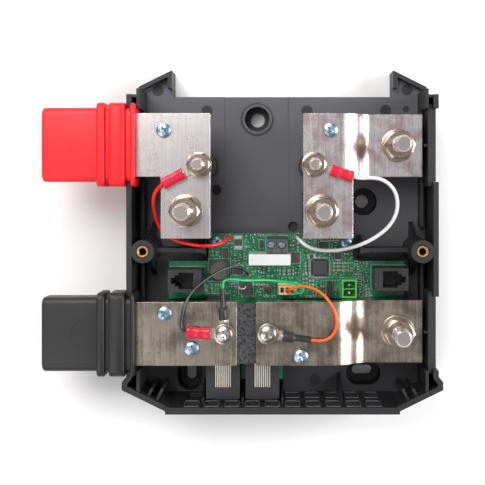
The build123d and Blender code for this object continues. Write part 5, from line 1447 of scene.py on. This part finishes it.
def build_sky(tree: bpy.types.NodeTree) -> None:
    """Build the tent round the object: grey overhead, darker and warm half way down, bright near the table.

    Args:
        tree: The world's node tree.
    """
    ray = tree.nodes.new("ShaderNodeTexCoord").outputs["Generated"]
    split = tree.nodes.new("ShaderNodeSeparateXYZ")
    link(tree, ray, split.inputs[0])
    uneven = math_node(tree, "MULTIPLY", math_node(tree, "SUBTRACT", noise(tree, ray, 2.6, 2.0), 0.5), 0.35)
    height = math_node(tree, "ADD", split.outputs[2], uneven)
    ramp = tree.nodes.new("ShaderNodeValToRGB")
    first, last = ramp.color_ramp.elements
    first.position, first.color = 0.0, (0.95, 0.95, 0.95, 1.0)
    last.position, last.color = 1.0, (0.52, 0.52, 0.53, 1.0)
    for place, colour in ((0.35, (0.85, 0.84, 0.84)), (0.52, (0.20, 0.17, 0.15)), (0.72, (0.16, 0.14, 0.13)),
                          (0.86, (0.42, 0.41, 0.41))):
        stop = ramp.color_ramp.elements.new(place)
        stop.color = (*colour, 1.0)
    link(tree, height, ramp.inputs["Fac"])
    link(tree, ramp.outputs["Color"], tree.nodes["Background"].inputs["Color"])
    tree.nodes["Background"].inputs["Strength"].default_value = 0.85


def build_studio() -> None:
    """Build the pale floor, the lamps, the world and the camera."""
    scene = bpy.context.scene
    mesh = bpy.data.meshes.new("floor")
    mesh.from_pydata([(-1.5, -1.5, 0), (1.5, -1.5, 0), (1.5, 1.5, 0), (-1.5, 1.5, 0)], [], [(0, 1, 2, 3)])
    floor = bpy.data.objects.new("floor", mesh)
    floor.location.z = -0.0002
    scene.collection.objects.link(floor)
    paint = bpy.data.materials.new("studio_floor")
    paint.use_nodes = True
    fill(paint.node_tree.nodes["Principled BSDF"], {"Base Color": (0.92, 0.92, 0.92, 1.0), "Roughness": 0.7})
    mesh.materials.append(paint)
    for lamp in LAMPS:
        data = bpy.data.lights.new(lamp.name, "AREA")
        data.shape = "DISK"
        data.size = lamp.size
        data.energy = lamp.power
        data.color = lamp.colour
        light = bpy.data.objects.new(lamp.name, data)
        light.location = lamp.place
        light.rotation_euler = (Vector((0, 0, 0.02)) - Vector(lamp.place)).to_track_quat("-Z", "Y").to_euler()
        scene.collection.objects.link(light)
    world = bpy.data.worlds.new("studio")
    world.use_nodes = True
    build_sky(world.node_tree)
    scene.world = world
    scene.view_settings.view_transform = "Standard"
    eye = bpy.data.cameras.new("camera")
    eye.lens = 70.77
    eye.shift_x = -0.0825
    eye.shift_y = -0.1082
    eye.clip_start = 0.01
    camera = bpy.data.objects.new("camera", eye)
    camera.location = (0.0, 0.0233, 0.490)
    scene.collection.objects.link(camera)
    scene.camera = camera


def main() -> None:
    """Build the whole scene."""
    logging.basicConfig(level=logging.INFO)
    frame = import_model()
    shop = Workshop(frame, Paints())
    paint_nodes(shop)
    assemblies: tuple[Callable[[], None], ...] = (
        Fasteners(shop).build,
        RubberSleeve(shop, "red_sleeve", "red_rubber", Body.RED_SLEEVE).build,
        RubberSleeve(shop, "black_sleeve", "black_rubber", Body.BLACK_SLEEVE).build,
        Crimps(shop).build,
        Harness(shop).build,
        BoardDetails(shop).build,
        HousingDetails(shop).build,
    )
    for build in assemblies:
        build()
    build_studio()
    LOG.info("built %d new pieces", len(shop.shown) + len(WIRES))


if __name__ == "__main__":
    main()
